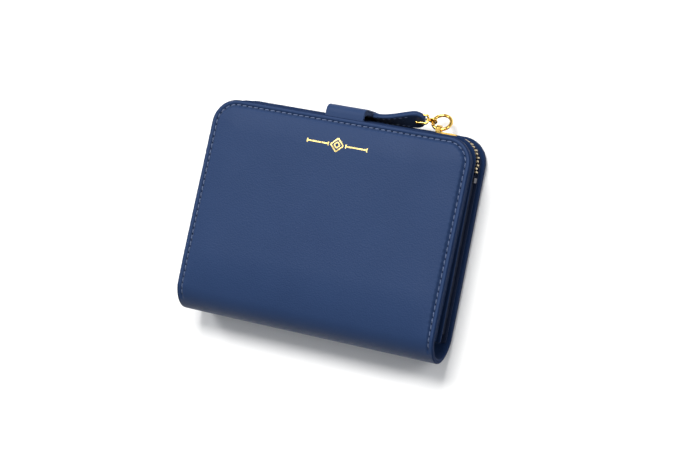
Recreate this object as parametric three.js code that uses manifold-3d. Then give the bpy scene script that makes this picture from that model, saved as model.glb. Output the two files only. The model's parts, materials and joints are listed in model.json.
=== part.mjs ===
// Compact bifold wallet with a zipped coin pocket in its back half and a snap strap over the closure edge.
// Millimetres, +Z up. It lies on its back cover: fold along -Y, closure edge towards +Y, front cover on top.
import * as THREE from 'three';
import { mergeVertices } from 'three/addons/utils/BufferGeometryUtils.js';
import Module from 'manifold-3d';

const wasm = await Module();
wasm.setup();

// ---------------------------------------------------------------- driving dimensions
const WIDTH = 115; // along the fold
const CORNER_R = 10.5; // the two corners at the closure edge
const BACK_LENGTH = 83; // fold line to closure edge, back half
const FRONT_LENGTH = 80.5; // the same, front half
const TILT = THREE.MathUtils.degToRad(3); // the closed wallet is thicker at the fold
const GAP = 0.3; // clearance between neighbouring pieces

const RIM = 3.4; // cover thickness at its stitched rim
const CROWN = 1.9; // padding above the rim
const EDGE = 2.8; // cover thickness where it meets the spine
const RIM_WIDTH = 2.6; // flat rim outside the padding
const CROWN_RUN = 11; // distance over which the padding rises
const SPINE_RUN = 18; // distance over which the cover bends towards the spine
const SKIN = 1.2; // leather over the padding
const LAND = 4.6; // solid border around the padding

const STRIPS = 5;
const STRIP_LENGTH = 6.6;
const SPINE_SKIN = 2;
const BEND = (Math.PI + TILT) / (STRIPS + 1); // turn of each fold line

const INNER_Z = RIM + CROWN; // inner face of the back cover
const FOLD_Y = -35.7; // fold line of the back cover
const CLOSURE_Y = FOLD_Y + BACK_LENGTH;
const STACK_Y = FOLD_Y + 2.4; // every inner layer starts here

const PANEL = 0.8; // lining and panel leather
const CARD = 0.6; // card-slot leather
const CARD_STEP = 0.8;
const BILL_GAP = 0.7;

const BAND_FROM = INNER_Z + 1.2; // zip band
const BAND_TO = BAND_FROM + 6.5;
const BAND_MID = (BAND_FROM + BAND_TO) / 2;
const BAND_INSET = 2.4;
const TAPE = 0.7;
const ZIP_SLOT = 1.4;
const TOOTH_PITCH = 2.8;
const TOOTH_LENGTH = 1;
const ZIP_DOWN = 5; // how far the chain runs down each side
const PARTITION_TO = BAND_TO + GAP + 1.3;

const SLIDER_X = 41;
const BAIL_X = SLIDER_X - 3.8;
const BAIL_Y = CLOSURE_Y + 0.8;
const RING_R = 3.8;
const RING_WIRE = 0.65;
const RING_LEAN = THREE.MathUtils.degToRad(35);

const STRAP_WIDTH = 17;
const STRAP = 1.5; // strap thickness
const STRAP_REACH = 3.3; // how far the arch stands off the closure edge
const STRAP_BEND_R = 2.7;
const DENT = 2.7; // back cover thickness under the strap
const SNAP_Y = CLOSURE_Y - 10.2;
const TAIL_END_Y = CLOSURE_Y - 17.5;

// ---------------------------------------------------------------- materials
function finish(color, roughness, metalness = 0) {
  return () => new THREE.MeshStandardMaterial({ color, roughness, metalness });
}
const outerLeather = finish(0x33456d, 0.48);
const edgeLeather = finish(0x25355a, 0.55);
const innerLeather = finish(0x2d3d62, 0.6);
const liningFabric = finish(0x1c2744, 0.9);
const zipTape = finish(0x10182c, 0.92);
const foam = finish(0xd9d2c0, 0.95);
const board = finish(0x8a7f6a, 0.9);
const gold = finish(0xe4bb52, 0.25, 1);

// ---------------------------------------------------------------- helpers
function solid(geometry) {
  const bare = new THREE.BufferGeometry();
  bare.setAttribute('position', geometry.getAttribute('position'));
  bare.setIndex(geometry.getIndex());
  const closed = mergeVertices(bare, 1e-4);
  const mesh = new wasm.Mesh({
    numProp: 3,
    vertProperties: new Float32Array(closed.getAttribute('position').array),
    triVerts: new Uint32Array(closed.getIndex().array),
  });
  return new wasm.Manifold(mesh);
}

function surface(manifold) {
  const mesh = manifold.getMesh();
  const geometry = new THREE.BufferGeometry();
  geometry.setAttribute('position', new THREE.BufferAttribute(mesh.vertProperties, 3));
  geometry.setIndex(new THREE.BufferAttribute(mesh.triVerts, 1));
  const flat = geometry.toNonIndexed();
  flat.computeVertexNormals();
  return flat;
}

function join(geometries) {
  return surface(wasm.Manifold.union(geometries.map(solid)));
}

function cut(geometry, tools) {
  return surface(solid(geometry).subtract(wasm.Manifold.union(tools.map(solid))));
}

function common(a, b) {
  return surface(solid(a).intersect(solid(b)));
}

function named(name, geometry, material) {
  const mesh = new THREE.Mesh(geometry, material());
  mesh.name = name;
  return mesh;
}

function box(x0, x1, y0, y1, z0, z1) {
  const geometry = new THREE.BoxGeometry(x1 - x0, y1 - y0, z1 - z0);
  return geometry.translate((x0 + x1) / 2, (y0 + y1) / 2, (z0 + z1) / 2);
}

function prism(shape, from, to, curveSegments = 5) {
  const depth = to - from;
  return new THREE.ExtrudeGeometry(shape, { depth, curveSegments, bevelEnabled: false }).translate(0, 0, from);
}

// ---------------------------------------------------------------- outlines
// A leaf is drawn in its own frame: x along the fold, y from the fold line to the closure edge, z outwards.
function leafShape(y0, y1, inset, radius = CORNER_R) {
  const half = WIDTH / 2 - inset;
  const r = Math.max(radius - inset, 1);
  const shape = new THREE.Shape();
  shape.moveTo(-half, y0);
  shape.lineTo(half, y0);
  shape.lineTo(half, y1 - r);
  shape.absarc(half - r, y1 - r, r, 0, Math.PI / 2, false);
  shape.lineTo(-half + r, y1);
  shape.absarc(-half + r, y1 - r, r, Math.PI / 2, Math.PI, false);
  shape.closePath();
  return shape;
}

// A band of the given thickness that follows the left side, the closure edge and the right side.
function bandShape(inset, thickness, y0) {
  const shape = new THREE.Shape();
  const outer = WIDTH / 2 - inset;
  const top = CLOSURE_Y - inset;
  const r = CORNER_R - inset;
  const inner = outer - thickness;
  const rim = r - thickness;
  shape.moveTo(inner, y0);
  shape.lineTo(outer, y0);
  shape.lineTo(outer, top - r);
  shape.absarc(outer - r, top - r, r, 0, Math.PI / 2, false);
  shape.lineTo(-outer + r, top);
  shape.absarc(-outer + r, top - r, r, Math.PI / 2, Math.PI, false);
  shape.lineTo(-outer, y0);
  shape.lineTo(-inner, y0);
  shape.lineTo(-inner, top - r);
  shape.absarc(-outer + r, top - r, rim, Math.PI, Math.PI / 2, true);
  shape.lineTo(outer - r, top - thickness);
  shape.absarc(outer - r, top - r, rim, Math.PI / 2, 0, true);
  shape.closePath();
  return shape;
}

// ---------------------------------------------------------------- padded covers
function edgeDistance(x, y, length) {
  const qx = Math.abs(x) - (WIDTH / 2 - CORNER_R);
  const qy = y - (length - CORNER_R);
  const outside = Math.hypot(Math.max(qx, 0), Math.max(qy, 0));
  return CORNER_R - outside - Math.min(Math.max(qx, qy), 0);
}

function ramp(value, from, to) {
  return THREE.MathUtils.clamp((value - from) / (to - from), 0, 1);
}

function crownHeight(x, y, length) {
  const d = edgeDistance(x, y, length);
  const rise = 1 - (1 - ramp(d, RIM_WIDTH, RIM_WIDTH + CROWN_RUN)) ** 2.2;
  const softEdge = 0.7 * (1 - ramp(d, 0, 1)) ** 2;
  const level = RIM + CROWN * rise - softEdge;
  return level - (level - EDGE) * (1 - ramp(y, 0, SPINE_RUN)) ** 2;
}

function dentHeight(x, y, length) {
  const level = crownHeight(x, y, length);
  const across = 1 - THREE.MathUtils.smoothstep(Math.abs(x), STRAP_WIDTH / 2 + 1, STRAP_WIDTH / 2 + 5);
  const along = THREE.MathUtils.smoothstep(y, length - 24, length - 19.5);
  return Math.min(level, level + (DENT - level) * across * along);
}

function ringPoints(length, inset) {
  const half = WIDTH / 2 - inset;
  const bottom = GAP / 2 + inset;
  const top = length - inset;
  const r = Math.max(CORNER_R - inset, 1.5);
  const points = [];
  const line = (x0, y0, x1, y1, n) => {
    for (let i = 0; i < n; i++) points.push([x0 + ((x1 - x0) * i) / n, y0 + ((y1 - y0) * i) / n]);
  };
  const arc = (cx, cy, from, n) => {
    for (let i = 0; i < n; i++) {
      const a = from + ((Math.PI / 2) * i) / n;
      points.push([cx + r * Math.cos(a), cy + r * Math.sin(a)]);
    }
  };
  line(-half, bottom, half, bottom, 8);
  line(half, bottom, half, top - r, 8);
  arc(half - r, top - r, 0, 5);
  line(half - r, top, -half + r, top, 18);
  arc(-half + r, top - r, Math.PI / 2, 5);
  line(-half, top - r, -half, bottom, 8);
  return points;
}

// A closed solid between two height functions, meshed in rings from its outline inwards.
function heightSolid(length, insets, upper, lower) {
  const rings = insets.map((inset) => ringPoints(length, inset));
  const count = rings[0].length;
  const positions = [];
  const index = [];
  const mitre = (y, z) => y + (EDGE - z) * Math.tan(BEND / 2) * (1 - ramp(y, 0, 10));
  const at = (side, ring, i) => side * rings.length * count + ring * count + (i % count);
  for (const height of [upper, lower]) {
    rings.forEach((ring, k) => {
      for (const [x, y] of ring) {
        const z = height(x, y, insets[k]);
        positions.push(x, mitre(y, z), z);
      }
    });
  }
  for (let k = 0; k + 1 < rings.length; k++) {
    for (let i = 0; i < count; i++) {
      index.push(at(0, k, i), at(0, k, i + 1), at(0, k + 1, i + 1));
      index.push(at(0, k, i), at(0, k + 1, i + 1), at(0, k + 1, i));
      index.push(at(1, k, i), at(1, k + 1, i + 1), at(1, k, i + 1));
      index.push(at(1, k, i), at(1, k + 1, i), at(1, k + 1, i + 1));
    }
  }
  const last = rings.length - 1;
  for (const [side, height] of [upper, lower].entries()) {
    const middle = positions.length / 3;
    positions.push(0, length / 2, height(0, length / 2, insets[last]));
    for (let i = 0; i < count; i++) {
      const edge = [at(side, last, i), at(side, last, i + 1)];
      index.push(...(side ? edge.reverse() : edge), middle);
    }
  }
  for (let i = 0; i < count; i++) {
    index.push(at(1, 0, i), at(1, 0, i + 1), at(0, 0, i + 1));
    index.push(at(1, 0, i), at(0, 0, i + 1), at(0, 0, i));
  }
  const geometry = new THREE.BufferGeometry();
  geometry.setAttribute('position', new THREE.Float32BufferAttribute(positions, 3));
  geometry.setIndex(index);
  const flat = geometry.toNonIndexed();
  flat.computeVertexNormals();
  return flat;
}

function coverGeometry(length, height) {
  const outer = (x, y) => height(x, y, length);
  const inner = (x, y, inset) => (inset < LAND + 0.1 ? 0 : outer(x, y) - SKIN);
  return heightSolid(length, [0, 0.5, 1.3, RIM_WIDTH, LAND, LAND + 0.4, 7.5, 10.5, 15, 21, 29, 37], outer, inner);
}

function padGeometry(length, height) {
  const top = (x, y) => height(x, y, length) - SKIN - GAP;
  return heightSolid(length, [LAND + 0.9, 7.5, 10.5, 15, 21, 29, 37], top, () => 1.6);
}

function boardGeometry(length) {
  const inset = LAND + 0.9;
  return prism(leafShape(inset, length - inset, inset), GAP, 1.3);
}

// ---------------------------------------------------------------- spine
function spineHinges() {
  const points = [new THREE.Vector2(FOLD_Y, INNER_Z - EDGE)];
  for (let k = 1; k <= STRIPS; k++) {
    const heading = Math.PI - k * BEND;
    const step = new THREE.Vector2(Math.cos(heading), Math.sin(heading)).multiplyScalar(STRIP_LENGTH);
    points.push(points[k - 1].clone().add(step));
  }
  return points;
}

function spineStrip(k, hinges) {
  const radius = STRIP_LENGTH / 2 / Math.sin(BEND / 2);
  const heading = Math.PI - k * BEND;
  const inward = new THREE.Vector2(Math.sin(heading), -Math.cos(heading));
  const middle = hinges[k - 1].clone().add(hinges[k]).multiplyScalar(0.5);
  const centre = middle.addScaledVector(inward, radius * Math.cos(BEND / 2));
  const facing = Math.atan2(-inward.y, -inward.x);
  const half = BEND / 2 - GAP / 2 / radius;
  const segments = 4;
  const positions = [];
  for (const side of [-1, 1]) {
    for (const r of [radius, radius - SPINE_SKIN]) {
      for (let i = 0; i <= segments; i++) {
        const a = facing + half - (2 * half * i) / segments;
        positions.push((side * WIDTH) / 2, centre.x + r * Math.cos(a), centre.y + r * Math.sin(a));
      }
    }
  }
  const row = segments + 1;
  const index = [];
  const quad = (a, b, c, d) => index.push(a, b, c, a, c, d);
  for (let i = 0; i < segments; i++) {
    quad(i, i + 2 * row, i + 1 + 2 * row, i + 1);
    quad(i + row, i + 1 + row, i + 1 + 3 * row, i + 3 * row);
    quad(i, i + 1, i + 1 + row, i + row);
    quad(i + 2 * row, i + 3 * row, i + 1 + 3 * row, i + 1 + 2 * row);
  }
  quad(0, row, 3 * row, 2 * row);
  quad(segments, segments + 2 * row, segments + 3 * row, segments + row);
  const geometry = new THREE.BufferGeometry();
  geometry.setAttribute('position', new THREE.Float32BufferAttribute(positions, 3));
  geometry.setIndex(index);
  const flat = geometry.toNonIndexed();
  flat.computeVertexNormals();
  return named(`spine_strip_${k}`, flat, outerLeather);
}

// ---------------------------------------------------------------- layers inside the two halves
function frontLayers(group) {
  const y0 = 2.4;
  const y1 = FRONT_LENGTH - 0.6;
  const liningFrom = -GAP - PANEL;
  group.add(named('bill_pocket_lining', prism(leafShape(y0, y1, 0.6), liningFrom, -GAP), liningFabric));

  const panelTo = liningFrom - GAP;
  const sheetTo = panelTo - BILL_GAP;
  const panelFrom = sheetTo - PANEL;
  const half = WIDTH / 2;
  const pocket = box(-half + 6, half - 6, y0 + 5, FRONT_LENGTH + 1, sheetTo, panelTo + 1);
  group.add(named('front_inner_panel', cut(prism(leafShape(y0, y1, 0.6), panelFrom, panelTo), [pocket]), innerLeather));

  [62, 50, 38].forEach((top, i) => {
    const to = panelFrom - 0.2 - i * CARD_STEP;
    group.add(named(`card_slot_front_${i + 1}`, prism(leafShape(y0, top, 3, 4.5), to - CARD, to), innerLeather));
  });
}

function backLayers(group) {
  const lining = prism(leafShape(STACK_Y, CLOSURE_Y - 1.2, 1.2), INNER_Z + GAP, INNER_Z + 0.9);
  group.add(named('coin_pocket_lining', lining, liningFabric));

  const floor = box(-WIDTH / 2 + 4, WIDTH / 2 - 4, STACK_Y, STACK_Y + TAPE, BAND_FROM, BAND_TO);
  group.add(named('coin_pocket_floor', floor, zipTape));

  const partition = prism(leafShape(STACK_Y, CLOSURE_Y - 1, 1), BAND_TO + GAP, PARTITION_TO);
  group.add(named('partition_panel', partition, innerLeather));

  [24, 8, -10].forEach((top, i) => {
    const from = PARTITION_TO + 0.2 + i * CARD_STEP;
    group.add(named(`card_slot_back_${i + 1}`, prism(leafShape(STACK_Y, top, 3, 4.5), from, from + CARD), innerLeather));
  });
}

// ---------------------------------------------------------------- zip
// Point, direction and outward normal at a distance along the chain, from the end on the left side.
function chainPoint(distance) {
  const r = CORNER_R - BAND_INSET;
  const side = WIDTH / 2 - BAND_INSET;
  const top = CLOSURE_Y - BAND_INSET;
  const quarter = (Math.PI / 2) * r;
  const run = 2 * (side - r);
  const turn = (cx, from, along) => {
    const a = from - along / r;
    return { x: cx + r * Math.cos(a), y: top - r + r * Math.sin(a), angle: a };
  };
  let left = distance - ZIP_DOWN;
  if (left < 0) return { x: -side, y: top - r + left, angle: Math.PI };
  if (left < quarter) return turn(-side + r, Math.PI, left);
  left -= quarter;
  if (left < run) return { x: -side + r + left, y: top, angle: Math.PI / 2 };
  left -= run;
  if (left < quarter) return turn(side - r, Math.PI / 2, left);
  return { x: side, y: top - r - (left - quarter), angle: 0 };
}

function chainLength() {
  const r = CORNER_R - BAND_INSET;
  return 2 * ZIP_DOWN + Math.PI * r + 2 * (WIDTH / 2 - BAND_INSET - r);
}

function onChain(geometry, distance) {
  const { x, y, angle } = chainPoint(distance);
  return geometry.rotateZ(angle).translate(x, y, 0);
}

// One row of teeth on a thin rail. Right of the slider the two rows mesh; left of it they stand apart.
function teethRow(sign, offset) {
  const inner = BAND_MID + (sign * ZIP_SLOT) / 2;
  const z = (a, b) => [Math.min(a, b), Math.max(a, b)];
  const [rail0, rail1] = z(inner + sign * 0.3, inner + sign * 1.1);
  const chainStart = CLOSURE_Y - CORNER_R - ZIP_DOWN;
  const pieces = [prism(bandShape(BAND_INSET - 0.6, 0.5, chainStart), rail0, rail1, 8)];
  for (let d = 1.6 + offset; d < chainLength() - 1.6; d += TOOTH_PITCH) {
    const meshed = chainPoint(d).y > CLOSURE_Y - CORNER_R * 3 && chainPoint(d).x > SLIDER_X - 1;
    const reach = meshed ? BAND_MID - sign * 0.5 : inner;
    const [z0, z1] = z(inner + sign * 0.9, reach);
    pieces.push(onChain(box(0.2, 1.4, -TOOTH_LENGTH / 2, TOOTH_LENGTH / 2, z0, z1), d));
  }
  return join(pieces);
}

function zip(group) {
  const tape = (from, to) => prism(bandShape(BAND_INSET, TAPE, STACK_Y), from, to, 8);
  group.add(named('zip_tape_back', tape(BAND_FROM, BAND_MID - ZIP_SLOT / 2), zipTape));
  group.add(named('zip_tape_front', tape(BAND_MID + ZIP_SLOT / 2, BAND_TO), zipTape));
  group.add(named('zip_teeth_back', teethRow(-1, 0), gold));
  group.add(named('zip_teeth_front', teethRow(1, TOOTH_PITCH / 2), gold));
  const stop = () => box(0.3, 1.5, -1, 1, BAND_MID - 1.7, BAND_MID + 1.7);
  group.add(named('zip_stop_left', onChain(stop(), -1.6), gold));
  group.add(named('zip_stop_right', onChain(stop(), chainLength() + 1.6), gold));
}

function slider() {
  const chainTop = CLOSURE_Y - BAND_INSET + 1.4;
  const flat = (y0, y1, half) => {
    const shape = new THREE.Shape();
    const x0 = SLIDER_X - 4.5;
    shape.moveTo(x0, -half * 0.7);
    shape.quadraticCurveTo(x0 + 1, -half, x0 + 3, -half);
    shape.lineTo(x0 + 8.4, -half * 0.82);
    shape.quadraticCurveTo(x0 + 9.2, 0, x0 + 8.4, half * 0.82);
    shape.lineTo(x0 + 3, half);
    shape.quadraticCurveTo(x0 + 1, half, x0, half * 0.7);
    shape.closePath();
    const depth = y1 - y0;
    const slab = new THREE.ExtrudeGeometry(shape, { depth, curveSegments: 3, bevelEnabled: false });
    return slab.rotateX(-Math.PI / 2).translate(0, y0, BAND_MID);
  };
  const outer = flat(chainTop + 0.15, chainTop + 0.75, 3.1);
  const inner = flat(CLOSURE_Y - BAND_INSET - TAPE - GAP - 0.9, CLOSURE_Y - BAND_INSET - TAPE - GAP, 2.6);
  const post = box(SLIDER_X - 4.2, SLIDER_X - 2.6, CLOSURE_Y - 4, chainTop + 0.8, BAND_MID - 0.4, BAND_MID + 0.4);
  const flange = (sign) => {
    const z = [BAND_MID + sign * 2, BAND_MID + sign * 2.6].sort((a, b) => a - b);
    return box(SLIDER_X - 3.4, SLIDER_X + 3, CLOSURE_Y - BAND_INSET + GAP, chainTop + 0.8, z[0], z[1]);
  };
  const arch = new THREE.Shape();
  const foot = BAIL_Y - chainTop - 0.8;
  arch.moveTo(-1.75, -foot);
  arch.lineTo(1.75, -foot);
  arch.lineTo(1.75, 0);
  arch.absarc(0, 0, 1.75, 0, Math.PI, false);
  arch.closePath();
  const eye = new THREE.Path();
  eye.absarc(0, 0, 0.98, 0, Math.PI * 2, true);
  arch.holes.push(eye);
  const bail = new THREE.ExtrudeGeometry(arch, { depth: 1.8, curveSegments: 8, bevelEnabled: false });
  bail.rotateY(Math.PI / 2).translate(BAIL_X - 0.9, BAIL_Y, BAND_MID);
  const geometry = join([outer, inner, post, flange(-1), flange(1), bail]);
  return named('zip_slider', geometry, gold);
}

function ringFrame() {
  const up = new THREE.Vector3(0, Math.cos(RING_LEAN), -Math.sin(RING_LEAN));
  const centre = new THREE.Vector3(BAIL_X, BAIL_Y, BAND_MID).addScaledVector(up, RING_R);
  return { up, centre };
}

function pullRing() {
  const { centre } = ringFrame();
  const ring = new THREE.TorusGeometry(RING_R, RING_WIRE, 8, 28);
  ring.rotateX(-RING_LEAN).translate(centre.x, centre.y, centre.z);
  return named('pull_ring', ring, gold);
}

function rod(a, b, radius) {
  const along = b.clone().sub(a);
  const geometry = new THREE.CapsuleGeometry(radius, along.length(), 3, 8);
  const turn = new THREE.Quaternion().setFromUnitVectors(new THREE.Vector3(0, 1, 0), along.normalize());
  const middle = a.clone().add(b).multiplyScalar(0.5);
  return geometry.applyQuaternion(turn).translate(middle.x, middle.y, middle.z);
}

const pullerEnd = () => BAIL_X - RING_R - 2.8;

function pullerMid(x) {
  return CLOSURE_Y + 1.2 + 2.7 * THREE.MathUtils.smoothstep(x, 6, 34);
}

// The strip twists as it nears the ring: its front edge stands higher than its back edge.
function pullerSlope(x) {
  return Math.tan(THREE.MathUtils.degToRad(8 + 22 * THREE.MathUtils.smoothstep(x, 8, 28)));
}

function twisted(point) {
  point.y += (point.z - BAND_MID) * pullerSlope(point.x);
  return point;
}

function clasp() {
  const { centre, up } = ringFrame();
  const hold = centre.clone().add(new THREE.Vector3(-RING_R, 0, 0));
  const eye = new THREE.TorusGeometry(1.3, 0.42, 8, 16);
  eye.applyQuaternion(new THREE.Quaternion().setFromUnitVectors(new THREE.Vector3(0, 0, 1), up));
  eye.translate(hold.x, hold.y, hold.z);
  const neck = new THREE.Vector3(hold.x - 1.3, hold.y, hold.z);
  const fork = new THREE.Vector3(pullerEnd() + 0.8, pullerMid(32) + 0.1, BAND_MID - 0.4);
  const spread = 1.65;
  const prongs = [1, -1].map((sign) => {
    const root = fork.clone().add(new THREE.Vector3(-0.3, sign * spread, 0.3));
    const tip = new THREE.Vector3(pullerEnd() - (sign > 0 ? 4 : 2.6), 0, BAND_MID + 0.6);
    tip.y = pullerMid(tip.x) + sign * spread;
    twisted(tip);
    return [rod(fork, root, 0.5), rod(root, tip, 0.45)];
  });
  return named('puller_clasp', join([eye, rod(neck, fork, 0.55), ...prongs.flat()]), gold);
}

function pullerLeather() {
  const thickness = 1.9;
  const from = STRAP_WIDTH / 2 + 0.5;
  const to = pullerEnd();
  const n = 8;
  const side = new THREE.Shape();
  for (let i = 0; i <= n; i++) {
    const x = from + ((to - from) * i) / n;
    const y = pullerMid(x) - thickness / 2;
    if (i) side.lineTo(x, y);
    else side.moveTo(x, y);
  }
  for (let i = n; i >= 0; i--) {
    const x = from + ((to - from) * i) / n;
    side.lineTo(x, pullerMid(x) + thickness / 2);
  }
  side.closePath();
  const strip = prism(side, BAND_MID - 5, BAND_MID + 5);
  const plan = new THREE.Shape();
  plan.moveTo(from - 1, -3.4);
  plan.lineTo(to - 5, -4);
  plan.absarc(to - 4, 0, 4, -Math.PI / 2, Math.PI / 2, false);
  plan.lineTo(from - 1, 3.4);
  plan.closePath();
  const stamp = prism(plan, CLOSURE_Y - 5, CLOSURE_Y + 10).rotateX(-Math.PI / 2).translate(0, 0, BAND_MID);
  const geometry = common(strip, stamp);
  const position = geometry.getAttribute('position');
  const point = new THREE.Vector3();
  for (let i = 0; i < position.count; i++) {
    twisted(point.fromBufferAttribute(position, i));
    position.setY(i, point.y);
  }
  geometry.computeVertexNormals();
  return named('puller_leather', geometry, outerLeather);
}

// ---------------------------------------------------------------- strap
const ROOT_Z = 0.9; // middle of the strap in the front half's frame

function strapProfile(points) {
  const shape = new THREE.Shape();
  points.forEach(([y, z], i) => (i ? shape.lineTo(-z, y) : shape.moveTo(-z, y)));
  shape.closePath();
  const depth = STRAP_WIDTH;
  const bar = new THREE.ExtrudeGeometry(shape, { depth, bevelEnabled: false });
  return bar.rotateY(Math.PI / 2).translate(-STRAP_WIDTH / 2, 0, 0);
}

function quarterArc(cy, cz, r, from, n = 5) {
  const points = [];
  for (let i = 0; i <= n; i++) {
    const a = from - ((Math.PI / 2) * i) / n;
    points.push([cy + r * Math.cos(a), cz + r * Math.sin(a)]);
  }
  return points;
}

function strapLine() {
  const exit = new THREE.Vector3(0, FRONT_LENGTH + GAP, ROOT_Z).applyMatrix4(frontFrame());
  const outerY = CLOSURE_Y + STRAP_REACH;
  const tailTo = INNER_Z - DENT - GAP;
  return { exit, outerY, tailFrom: tailTo - STRAP, tailTo };
}

function strapBridge() {
  const { exit, outerY, tailFrom } = strapLine();
  const inner = STRAP_BEND_R - STRAP;
  const cy = outerY - STRAP_BEND_R;
  const crest = exit.z + STRAP / 2 - STRAP_BEND_R;
  const foot = tailFrom + STRAP_BEND_R;
  const outside = [[exit.y, exit.z + STRAP / 2], ...quarterArc(cy, crest, STRAP_BEND_R, Math.PI / 2)];
  const inside = [[exit.y, exit.z - STRAP / 2], ...quarterArc(cy, crest, inner, Math.PI / 2)];
  const end = [[outerY, foot], [outerY - STRAP, foot]];
  return named('strap_bridge', strapProfile([...outside, ...end, ...inside.reverse()].reverse()), outerLeather);
}

function strapTail() {
  const { outerY, tailFrom, tailTo } = strapLine();
  const cy = outerY - STRAP_BEND_R;
  const foot = tailFrom + STRAP_BEND_R - GAP;
  const outside = [[outerY, foot], ...quarterArc(cy, foot - GAP, STRAP_BEND_R - GAP, 0).slice(1)];
  outside.forEach((p) => (p[1] = Math.max(p[1], tailFrom)));
  const inside = [[outerY - STRAP, foot], ...quarterArc(cy, foot - GAP, STRAP_BEND_R - STRAP, 0).slice(1)];
  inside.forEach((p) => (p[1] = Math.min(Math.max(p[1], tailTo), foot)));
  const bar = strapProfile([
    ...outside,
    [TAIL_END_Y, tailFrom],
    [TAIL_END_Y, tailTo],
    ...inside.reverse(),
  ].reverse());
  const plan = new THREE.Shape();
  const half = STRAP_WIDTH / 2;
  plan.moveTo(half + 1, outerY + 1);
  plan.lineTo(-half - 1, outerY + 1);
  plan.lineTo(-half - 1, TAIL_END_Y + 6);
  plan.lineTo(-half, TAIL_END_Y + 6);
  plan.absarc(-half + 6, TAIL_END_Y + 6, 6, Math.PI, 1.5 * Math.PI, false);
  plan.absarc(half - 6, TAIL_END_Y + 6, 6, 1.5 * Math.PI, 2 * Math.PI, false);
  plan.lineTo(half + 1, TAIL_END_Y + 6);
  plan.closePath();
  const rounded = common(bar, prism(plan, -2, INNER_Z + 4));
  const hole = lathe([[0, tailFrom - 1], [3.2, tailFrom - 1], [3.2, tailTo + 0.2], [0, tailTo + 0.2]]);
  return named('strap_tail', cut(rounded, [hole]), outerLeather);
}

function lathe(profile) {
  const points = profile.map(([r, z]) => new THREE.Vector2(r, z));
  const turned = new THREE.LatheGeometry(points, 20);
  return turned.rotateX(Math.PI / 2).translate(0, SNAP_Y, 0);
}

function snap() {
  const { tailFrom, tailTo } = strapLine();
  const cap = lathe([[0, 0], [4.2, 0.12], [5.4, 0.45], [5.4, tailFrom - 0.1], [1.1, tailFrom - 0.1], [1.1, tailTo - 0.4], [0, tailTo - 0.4]]);
  const socket = lathe([[1.5, tailFrom + 0.2], [2.9, tailFrom + 0.2], [2.9, tailTo], [1.5, tailTo], [1.5, tailFrom + 0.2]]);
  return [named('snap_cap', cap, gold), named('snap_socket', socket, gold)];
}

function snapStud() {
  const { tailTo } = strapLine();
  const from = tailTo + 0.6;
  const stud = lathe([[0, tailTo - 0.15], [0.9, tailTo - 0.15], [0.9, from], [2.9, from], [2.9, from + 0.5], [0, from + 0.5]]);
  return named('snap_stud', stud, gold);
}

// ---------------------------------------------------------------- assembly
function frontFrame() {
  const hinge = spineHinges()[STRIPS];
  const frame = new THREE.Matrix4().makeRotationX(-TILT);
  const drop = new THREE.Vector3(0, 0, -EDGE).applyMatrix4(frame);
  return frame.setPosition(drop.x, hinge.x + drop.y, hinge.y + drop.z);
}

function frontHalf() {
  const half = new THREE.Group();
  half.name = 'front_half';
  half.applyMatrix4(frontFrame());
  const seat = STRAP_WIDTH / 2 + GAP;
  const slot = box(-seat, seat, FRONT_LENGTH - LAND + 0.2, FRONT_LENGTH + 1, -1, ROOT_Z + STRAP / 2 + 0.15);
  half.add(named('front_cover', cut(coverGeometry(FRONT_LENGTH, crownHeight), [slot]), outerLeather));
  half.add(named('front_pad', padGeometry(FRONT_LENGTH, crownHeight), foam));
  half.add(named('front_board', boardGeometry(FRONT_LENGTH), board));
  const rootTo = ROOT_Z + STRAP / 2;
  const root = box(-STRAP_WIDTH / 2, STRAP_WIDTH / 2, FRONT_LENGTH - LAND + 0.5, FRONT_LENGTH, rootTo - STRAP, rootTo);
  half.add(named('strap_root', root, edgeLeather));
  frontLayers(half);
  return half;
}

function backHalf() {
  const half = new THREE.Group();
  half.name = 'back_half';
  const leaf = new THREE.Group();
  leaf.position.set(0, FOLD_Y, INNER_Z);
  leaf.rotation.y = Math.PI;
  const seat = lathe([[0, 1.4], [3.2, 1.4], [3.2, INNER_Z], [0, INNER_Z]]).translate(0, -FOLD_Y, 0);
  const cover = coverGeometry(BACK_LENGTH, dentHeight);
  leaf.add(named('back_cover', cut(cover, [seat]), outerLeather));
  const clear = STRAP_WIDTH / 2 + 10.5;
  const underStrap = box(-clear, clear, BACK_LENGTH - 29.5, BACK_LENGTH, 0, INNER_Z);
  leaf.add(named('back_pad', cut(padGeometry(BACK_LENGTH, crownHeight), [underStrap]), foam));
  leaf.add(named('back_board', boardGeometry(BACK_LENGTH), board));
  half.add(leaf);
  backLayers(half);
  zip(half);
  half.add(snapStud());
  return half;
}

const hinges = spineHinges();
const wallet = new THREE.Group();
wallet.name = 'wallet';
wallet.add(backHalf());
for (let k = 1; k <= STRIPS; k++) wallet.add(spineStrip(k, hinges));
wallet.add(frontHalf());
wallet.add(slider(), pullRing(), clasp(), pullerLeather());
wallet.add(strapBridge(), strapTail(), ...snap());

wallet.updateMatrixWorld(true);
const bounds = new THREE.Box3().setFromObject(wallet, true);
const middle = bounds.getCenter(new THREE.Vector3());
wallet.position.set(-middle.x, -middle.y, -bounds.min.z);

const part = new THREE.Group();
part.name = 'bifold_wallet';
part.add(wallet);

export default part;
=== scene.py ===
import json
import math

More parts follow.
